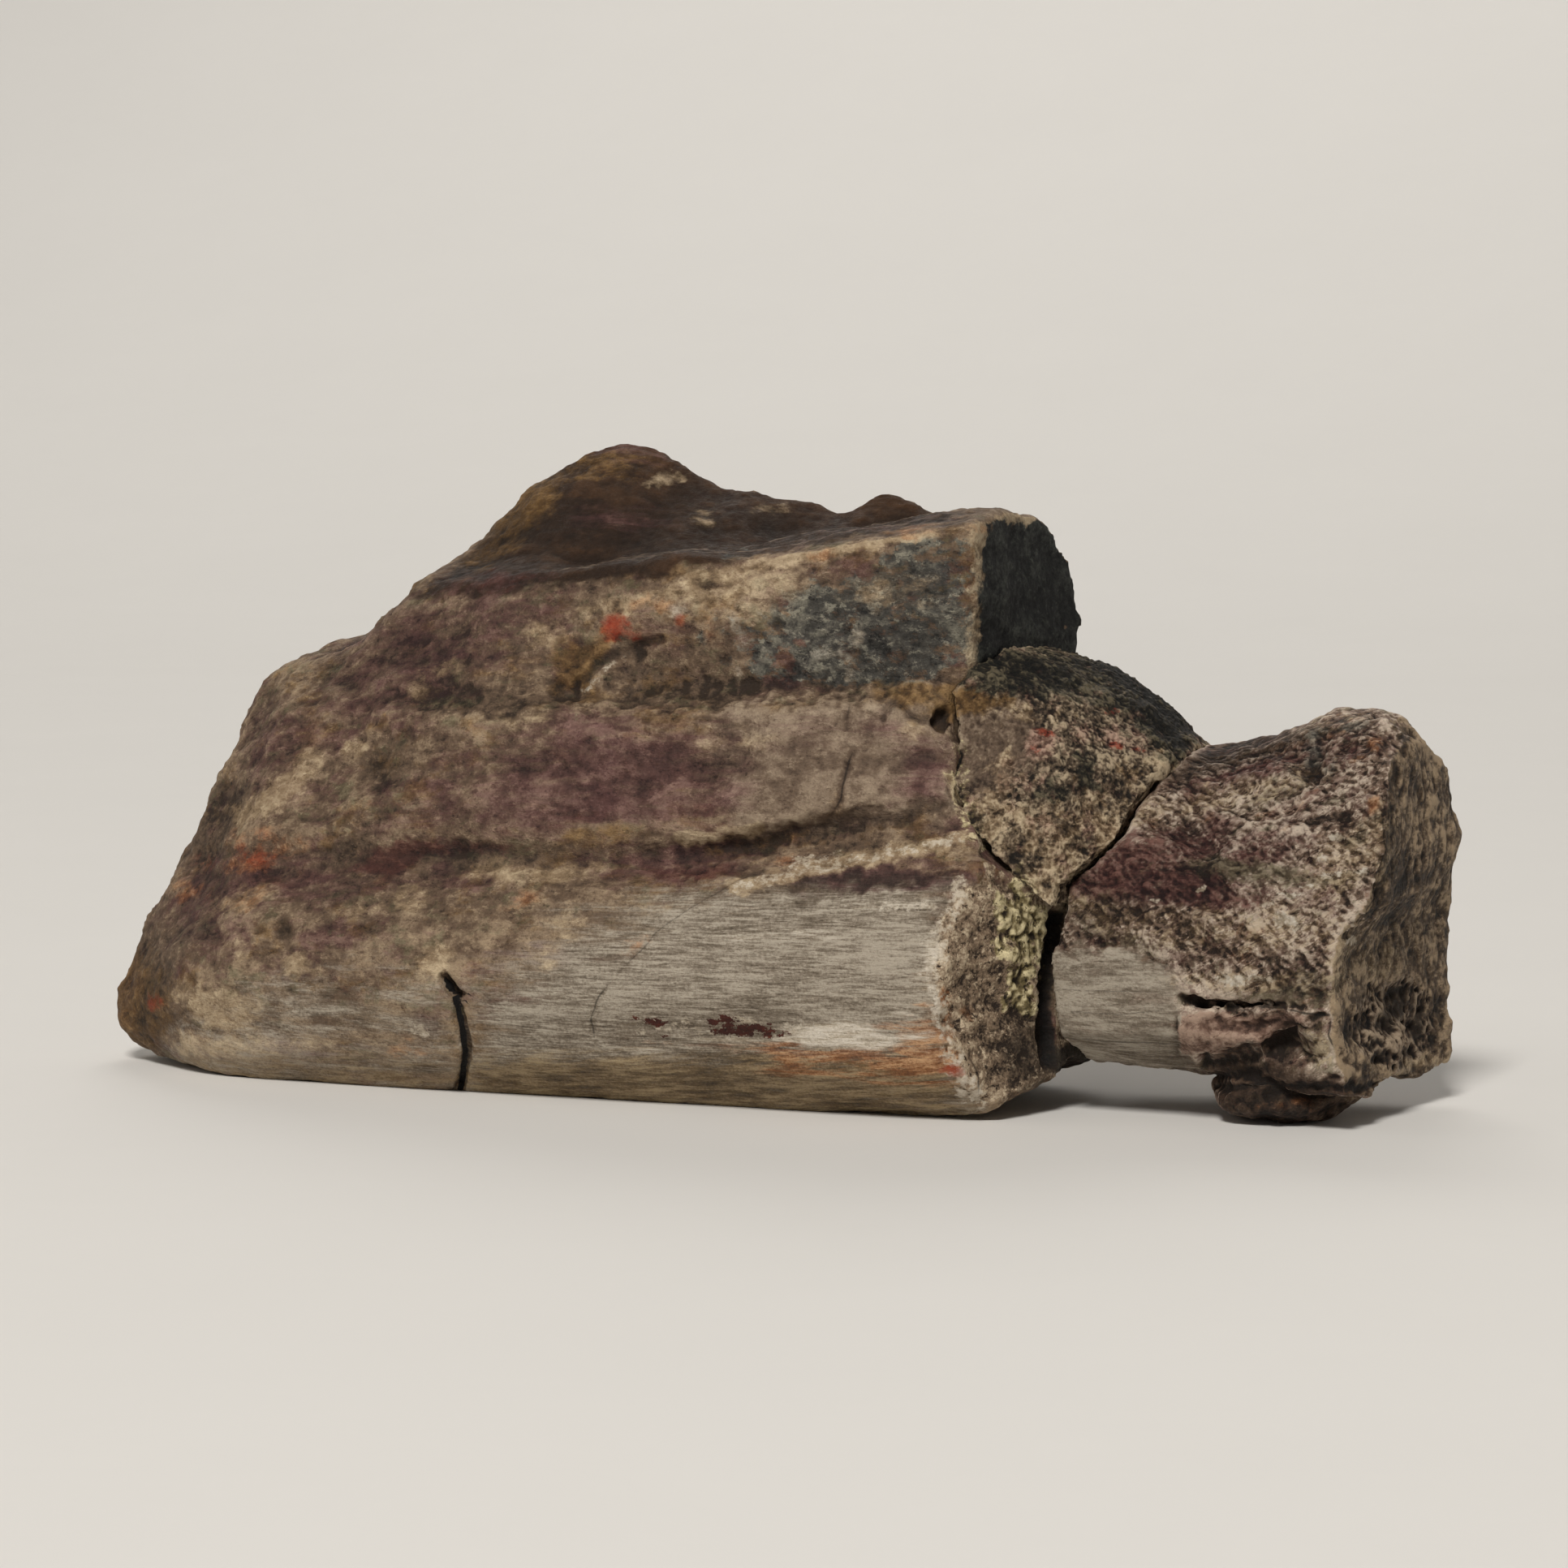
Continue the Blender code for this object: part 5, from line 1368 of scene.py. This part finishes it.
# %% End block stains
PURPLE_DABS = [
    (1430, 1092, 100, 24, 0, 1), (1360, 1070, 50, 24, 25, 0.8), (1430, 1045, 80, 26, 14, 0.8),
    (1520, 1050, 70, 20, 6, 0.6), (1550, 950, 60, 10, 20, 0.7), (1490, 965, 40, 14, 30, 0.6),
    (1600, 1000, 40, 16, 0, 0.4), (1655, 930, 36, 18, 10, 0.5), (1500, 1110, 50, 12, 0, 0.6),
    (1590, 1040, 50, 14, 0, 0.4), (1690, 990, 10, 26, 0, 0.5)
]
OLIVE_DABS = [
    (1560, 1075, 70, 12, -4, 0.8), (1500, 1066, 40, 10, 0, 0.8), (1620, 1088, 40, 8, 0, 0.6),
    (1620, 1206, 30, 12, -10, 0.7), (1350, 1140, 60, 14, -25, 0.5), (1400, 1165, 60, 8, 0, 0.4),
    (1560, 1225, 50, 8, 0, 0.5), (1370, 1112, 40, 10, 0, 0.4), (1626, 1290, 20, 34, 0, 0.8),
    (1600, 1225, 50, 20, 0, 0.6), (1560, 985, 50, 10, 24, 0.5)
]
END_CREAM = [
    (1490, 985, 60, 14, 18, 0.5), (1580, 965, 60, 14, 22, 0.5), (1660, 1060, 50, 34, 30, 0.6),
    (1580, 1140, 44, 26, 0, 0.6), (1340, 1120, 40, 14, -25, 0.5), (1530, 1208, 80, 12, 0, 0.7),
    (1450, 1150, 90, 24, -8, 0.4), (1640, 895, 50, 10, 16, 0.5), (1628, 1285, 16, 26, 0, 0.6),
    (1745, 1310, 46, 9, 10, 0.7), (1600, 1352, 60, 8, 0, 0.5), (1700, 1180, 26, 40, 0, 0.4),
    (1410, 1000, 26, 16, 30, 0.6), (1700, 1020, 14, 40, 0, 0.5), (1650, 1180, 20, 50, 0, 0.5),
    (1500, 1130, 60, 12, -10, 0.3)
]
# White lime spots, some of them painted glints.
END_LIME_AND_GLINTS = [
    (1580, 1134, 11, 8, 0, 1), (1594, 1140, 6, 8, 0, 0.8), (1646, 1032, 9, 5, 0, 0.9),
    (1666, 1160, 6, 5, 0, 0.9), (1590, 1102, 14, 3, 0, 0.9), (1480, 1094, 8, 3, 20, 0.8),
    (1640, 1078, 14, 4, 20, 0.7), (1560, 1116, 10, 3, 0, 0.7), (1516, 1208, 22, 6, 0, 0.8),
    (1680, 1075, 8, 5, 0, 0.5), (1555, 1206, 16, 5, 0, 0.6), (1610, 1092, 10, 3, 0, 0.6),
    (1776, 1318, 10, 6, 0, 0.5), (1630, 1060, 10, 4, 0, 0.5), (1425, 1110, 10, 4, 0, 0.5)
]
END_RUST = [
    (1695, 918, 8, 12, 0, 0.8), (1690, 992, 7, 10, 0, 0.7), (1672, 935, 12, 5, 0, 0.4),
    (1585, 1362, 40, 8, 0, 0.4), (1380, 1092, 12, 4, 0, 0.5), (1610, 1358, 10, 4, 0, 0.4),
    (1640, 910, 26, 5, 20, 0.4), (1540, 1170, 30, 14, 0, 0.3), (1376, 1015, 8, 12, 0, 0.6)
]
# Dark brown on the block's top, and painted shade on the flake under it.
BROWN_AND_SHADE_DABS = [
    (1560, 915, 50, 14, 8, 0.9), (1605, 905, 24, 9, 10, 0.5), (1490, 940, 60, 16, 20, 0.7),
    (1570, 1360, 100, 34, 0, 1), (1530, 1322, 50, 14, 0, 1), (1640, 1340, 60, 8, 0, 0.8)
]
BLUE_GREY_DABS = [(1618, 930, 12, 30, -10, 0.7), (1660, 898, 34, 8, 10, 0.7), (1630, 945, 20, 10, 0, 0.4)]
END_FACE = [(1742, 895), (1718, 935), (1712, 1000), (1712, 1070), (1690, 1145), (1646, 1165), (1640, 1240),
            (1645, 1290), (1655, 1320), (1800, 1340), (1810, 880)]

# %% End block light, shade and lines
END_SHADE = [
    (1475, 1078, 40, 9, 0, 0.8), (1440, 1100, 70, 10, 0, 0.6), (1625, 957, 14, 5, 0, 1),
    (1640, 1010, 26, 7, 8, 0.8), (1605, 1210, 56, 24, 0, 0.6), (1540, 1312, 70, 10, 0, 0.8),
    (1705, 1010, 6, 50, 0, 0.7), (1700, 940, 8, 30, 0, 0.5), (1610, 1262, 50, 16, 0, 0.6),
    (1420, 1130, 80, 8, 0, 0.3), (1530, 1345, 36, 8, 0, 1), (1500, 1360, 30, 14, 0, 0.8),
    (1570, 960, 20, 6, 0, 0.5), (1640, 1330, 60, 7, 0, 0.5), (1620, 1180, 12, 40, 0, 0.4),
    (1310, 1170, 30, 8, 0, 0.5), (1380, 1310, 90, 8, 0, 0.4), (1560, 1362, 110, 32, 0, 1),
    (1720, 1060, 8, 40, 0, 0.5), (1490, 935, 80, 18, 20, 0.5), (1470, 1020, 30, 10, 33, 0.4)
]
END_LIGHT = [
    (1590, 1120, 70, 34, 0, 0.8), (1660, 1070, 50, 30, 0, 0.6), (1500, 1000, 90, 20, 14, 0.3),
    (1370, 1230, 90, 50, 0, 0.6), (1525, 1208, 60, 9, 0, 0.4), (1760, 1315, 26, 8, 0, 0.4)
]
END_LINES = [
    ([(1500, 1338), (1560, 1336), (1620, 1337), (1690, 1340), (1750, 1334)], 1.4),
    (SLIT, 1.5),
    ([(1640, 1250), (1638, 1275), (1646, 1296)], 1.8),
    ([(1580, 1243), (1620, 1250), (1650, 1252)], 1.8),
    ([(1706, 985), (1704, 1020), (1708, 1060)], 1.5),
    ([(1300, 1218), (1360, 1222), (1420, 1220)], 1.1),
    ([(1310, 1246), (1380, 1250), (1440, 1244)], 1.1),
    ([(1296, 1276), (1350, 1282), (1450, 1286)], 1.2),
    ([(1600, 960), (1618, 956), (1636, 958)], 2.0),
    ([(1612, 948), (1616, 920)], 1.4),
]

# %% End block masks
look = study(end)
bone_side = smooth_step(18, 12, look.z) * smooth_step(62, 56, look.x) * look.away
end_side = smooth_step(0.55, 0.8, look.normal[:, 0]) * smooth_step(70, 76, look.x)
far_side = 0.8 * look.away * smooth_step(74, 80, look.x)
keep_masks(end, {
    "bone": most(area(look, STUB, 40, 10), 0.8 * bone_side),
    "fibres": area(look, FIBRE_AREA, 24, 8),
    "purple": most(patches(look, PURPLE_DABS), by_chance(look, 14, 0.0, 0.5, 91) * 0.8),
    "olive": patches(look, OLIVE_DABS),
    "cream": most(patches(look, END_CREAM), by_chance(look, 6, 0.1, 0.6, 92) * 0.6),
    # White lime spots, some of them painted glints.
    "lime": patches(look, END_LIME_AND_GLINTS, 0.6, 4),
    "rust": most(patches(look, END_RUST), by_chance(look, 7, 0.3, 0.6, 93) * 0.4),
    # Dark brown, and painted shade on the flake under the block.
    "brown": patches(look, BROWN_AND_SHADE_DABS),
    "end_face": most(area(look, END_FACE, 14, 6), end_side, far_side),
    "sponge": area(look, SPONGE, 18, 8),
    "shelf": area(look, PINK_SHELF, 10, 5),
    "blue": patches(look, BLUE_GREY_DABS),
    # Painted shade in the slit and its pits, the hollows, the seam under the flake, the sponge's pits and
    # along the end edge.
    "crevice_shade": most(
        0.5 * line(look, SLIT, 3, 8, 6),
        patches(look, SLIT_PITS, 0.7, 5),
        0.5 * line(look, DARK_STRIP, 12, 12, 6),
        0.6 * patch(look, SHELL_HOLLOW, 0.6, 3),
        0.4 * line(look, FLAKE_SEAM, 3, 8, 4),
        0.8 * patches(look, SPONGE_PITS, 0.6, 6),
        0.5 * line(look, SMUDGE, 4, 7, 4),
        0.5 * line(look, END_EDGE, 4, 8, 9),
    ),
    "light": patches(look, END_LIGHT, 0.9, 10),
    "shade": patches(look, END_SHADE, 0.8, 7),
})
keep_lines(end, look, "line", END_LINES)
# Painted shade in the hollows and a painted highlight on each ridge, at a fine and a broad scale.
keep_hollow_shade(end, look, "ridge", 5, 0.1)
keep_hollow_shade(end, look, "broad", 40, 0.5)

# %% [markdown]
# The end block has two grounds, fibrous in front and dusty at its end. The end face is seen nearly
# edge-on, which would squeeze a round noise into hairs, so its noises are drawn out front to back.

# %% End block noises
material, tree, shader = start_finish("rib_end_block_finish")
tear = speckle(tree, 2.4, seed=25.0)
tear_fine = speckle(tree, 0.6, seed=26.0, detail=5.0)
grit = speckle(tree, 0.35, seed=21.0, detail=3.0)
grain = speckle(tree, 0.5, (10, 1, 1), 1, seed=27.0, detail=4.0, bend=0.5)
grain_wide = speckle(tree, 2.0, (8, 1, 1), 1, seed=20.0, detail=6.0, bend=0.5)
fibre = speckle(tree, 0.8, (FIBRE_LENGTH, 1, 1), FIBRE_SLOPE, seed=28.0, bend=1.0)
dust = speckle(tree, 1.6, (1, 2.4, 1), seed=29.0)
flake = ramp(tree, speckle(tree, 0.6, (2.6, 1, 1), FIBRE_SLOPE, seed=32.0, detail=7.0), 0.55, 0.6)
pit = ramp(tree, speckle(tree, 0.8, (3.2, 1, 1), FIBRE_SLOPE, seed=33.0, detail=7.0), 0.56, 0.6)
red_spots = speckle(tree, 1.6, (1.6, 1, 1), FIBRE_SLOPE, seed=36.0, detail=7.0)
green_spots = speckle(tree, 2.4, (2.0, 1, 1), FIBRE_SLOPE, seed=39.0, detail=7.0)
face_flake = ramp(tree, speckle(tree, 0.8, (1, 2.8, 1), seed=37.0, detail=8.0), 0.55, 0.62)
face_pit = ramp(tree, speckle(tree, 1.0, (1, 2.8, 1), seed=38.0, detail=8.0), 0.56, 0.62)
broad = speckle(tree, 9.0, seed=24.0, detail=4.0)
pink = speckle(tree, 4.0, (2, 1, 1), FIBRE_SLOPE, seed=22.0, detail=6.0)
warm = speckle(tree, 3.0, (2, 1, 1), FIBRE_SLOPE, seed=23.0, detail=5.0)

# %% End block tones
chips = [(flake, 0.2), (pit, -0.3)]
fibre_chips = [(flake, 0.36), (pit, -0.4)]
tone = tone_of(tree, [(broad, 0.9), (tear, 1.2), (tear_fine, 0.9), (grit, 0.5)], 0.9, chips)
fibre_tone = tone_of(tree, [(broad, 2.0), (fibre, 1.0), (tear, 1.4), (grit, 1.0)], 0.9, fibre_chips)
streak_tone = tone_of(tree, [(grain, 1.2), (grain_wide, 1.6), (fibre, 1.0), (grit, 1.0)], 0.7, [(flake, 0.1)])
bone_tone = tone_of(tree, [(grain, 2.2), (grain_wide, 2.4), (grit, 0.9)], 0.5)
face_tone = tone_of(tree, [(broad, 2.2), (dust, 1.9), (tear, 0.5), (tear_fine, 0.2), (grit, 0.6)], 0.8,
                    [(face_flake, 0.3), (face_pit, -0.3)])

# %% End block finish
colour = shaded(tree, tone, FIBRES)
colour = stain(tree, colour, "fibres", shaded(tree, fibre_tone, FIBRES), tear, 0.3, 0.3)
colour = scattered(tree, colour, shaded(tree, fibre_tone, PURPLE), pink, 0.5, 0.66, 0.7)
colour = scattered(tree, colour, shaded(tree, fibre_tone, RUST), warm, 0.56, 0.7, 0.5)
colour = scattered(tree, colour, shaded(tree, fibre_tone, OLIVE_STREAK), green_spots, 0.53, 0.62, 0.7)
colour = scattered(tree, colour, shaded(tree, fibre_tone, MAROON), red_spots, 0.54, 0.6, 0.6)
colour = layered(tree, colour, [
    ("end_face", face_tone, DUSTY_END, tear, 0.3, 0.25),
    ("bone", bone_tone, GREY_BONE, grain_wide, 0.6, 0.4),
    ("purple", streak_tone, PURPLE, fibre, 0.8, 0.4, 0.9),
    ("olive", streak_tone, OLIVE_STREAK, fibre, 0.7, 0.4, 0.85),
    ("shelf", tone, PINK_SHELF_TONE, tear_fine, 0.4, 0.3),
    ("cream", fibre_tone, CREAM, fibre, 0.9, 0.4, 0.7),
    # Dark brown, and painted shade on the flake under the block.
    ("brown", tone, HUMP, tear, 0.6, 0.35, 0.85),
    ("blue", tone, BLUE, tear, 0.6, 0.35, 0.8),
    ("sponge", tone, SPONGE_TONE, tear_fine, 0.5, 0.3, 0.95),
    ("rust", tone, RUST, tear, 0.7, 0.4, 0.7),
    # Lime spots, some of them painted glints.
    ("lime", tone, LIME, tear_fine, 0.8, 0.25, 0.9),
])
# Painted shade in the crevices.
colour = stain(tree, colour, "crevice_shade", CREVICE_SHADE, tear_fine, 0.5, 0.35, 0.9)
colour = drawn_lines(tree, colour, "line", CRACK_AND_SHADOW_BLACK, tear_fine)
fibre_height = sums(tree, "MULTIPLY", fibre, painted(tree, "fibres"))
reliefs = [(tear, 0.5), (fibre_height, 0.5), (tear_fine, 0.3), (grit, 0.12)]
end_finish(tree, shader, colour, tear_fine, reliefs)
hand_over(end, material, "end_block")

# %% [markdown]
# A plain pale floor that sweeps up behind the stone, and soft studio light, finish the picture. The
# photograph's light comes from above the camera, so the key light stands there, and weak lights from
# the left and from behind open the shadows.

# %% Floor and light
SWEEP_WIDTH = 14.0
SWEEP_FRONT = -2.5
SWEEP_BACK = 0.7
SWEEP_RADIUS = 1.4
SWEEP_HEIGHT = 2.2
SWEEP_STEPS = 16


def floor_finish():
    """A matt pale floor with a hardly visible unevenness."""
    material, tree, shader = start_finish("floor_finish")
    tone = ramp(tree, speckle(tree, 60.0, seed=2.0), -2.0, 2.0)
    colour = blend(tree, tone, screen(216, 214, 210), screen(228, 226, 222))
    tree.links.new(colour, shader.inputs["Base Color"])
    shader.inputs["Roughness"].default_value = 0.85
    return material


bpy.ops.object.select_all(action="DESELECT")
bpy.ops.mesh.primitive_plane_add(size=1, location=(0, (SWEEP_FRONT + SWEEP_BACK) / 2, 0))
floor = bpy.context.object
floor.name = "floor"
floor.scale = (SWEEP_WIDTH, SWEEP_BACK - SWEEP_FRONT, 1)
bpy.ops.object.transform_apply(location=True, rotation=True, scale=True)
bpy.ops.object.mode_set(mode="EDIT")
bpy.ops.mesh.select_mode(type="EDGE")
bpy.ops.mesh.select_all(action="DESELECT")
bpy.ops.object.mode_set(mode="OBJECT")
for edge in floor.data.edges:
    edge.select = all(floor.data.vertices[v].co.y > SWEEP_BACK - 0.01 for v in edge.vertices)
bpy.ops.object.mode_set(mode="EDIT")
for step in range(1, SWEEP_STEPS + 1):
    turned = math.pi / 2 * step / SWEEP_STEPS
    before = math.pi / 2 * (step - 1) / SWEEP_STEPS
    rise = SWEEP_RADIUS * (math.cos(before) - math.cos(turned))
    run = SWEEP_RADIUS * (math.sin(turned) - math.sin(before))
    bpy.ops.mesh.extrude_region_move(TRANSFORM_OT_translate={"value": (0, run, rise)})
bpy.ops.mesh.extrude_region_move(TRANSFORM_OT_translate={"value": (0, 0, SWEEP_HEIGHT)})
bpy.ops.object.mode_set(mode="OBJECT")
floor.data.shade_smooth()
floor.data.materials.append(floor_finish())


def softbox(name, azimuth, rise, away, side, power, tint=(1, 1, 1)):
    """A square soft light that faces the stone, placed as the camera is, by azimuth and rise."""
    turn, lift = math.radians(azimuth), math.radians(rise)
    to_light = Vector((math.sin(turn) * math.cos(lift), -math.cos(turn) * math.cos(lift), math.sin(lift)))
    bpy.ops.object.light_add(type="AREA", location=CAMERA_AIM + to_light * away)
    light = bpy.context.object
    light.name = name
    light.data.size = side
    light.data.energy = power
    light.data.color = tint
    light.rotation_euler = (-to_light).to_track_quat("-Z", "Y").to_euler()
    return light


softbox("key", azimuth=8, rise=46, away=3.0, side=0.7, power=72.0, tint=(1.0, 0.965, 0.92))
softbox("left_fill", azimuth=-65, rise=25, away=3.0, side=1.2, power=7.0, tint=(1.0, 0.96, 0.9))
softbox("back_light", azimuth=200, rise=40, away=2.0, side=0.9, power=8.0, tint=(1.0, 0.97, 0.93))

world = bpy.data.worlds.new("studio")
bpy.context.scene.world = world
world.use_nodes = True
world.node_tree.nodes["Background"].inputs["Color"].default_value = (1.0, 0.97, 0.93, 1.0)
world.node_tree.nodes["Background"].inputs["Strength"].default_value = 0.14
bpy.context.scene.view_settings.view_transform = "Standard"
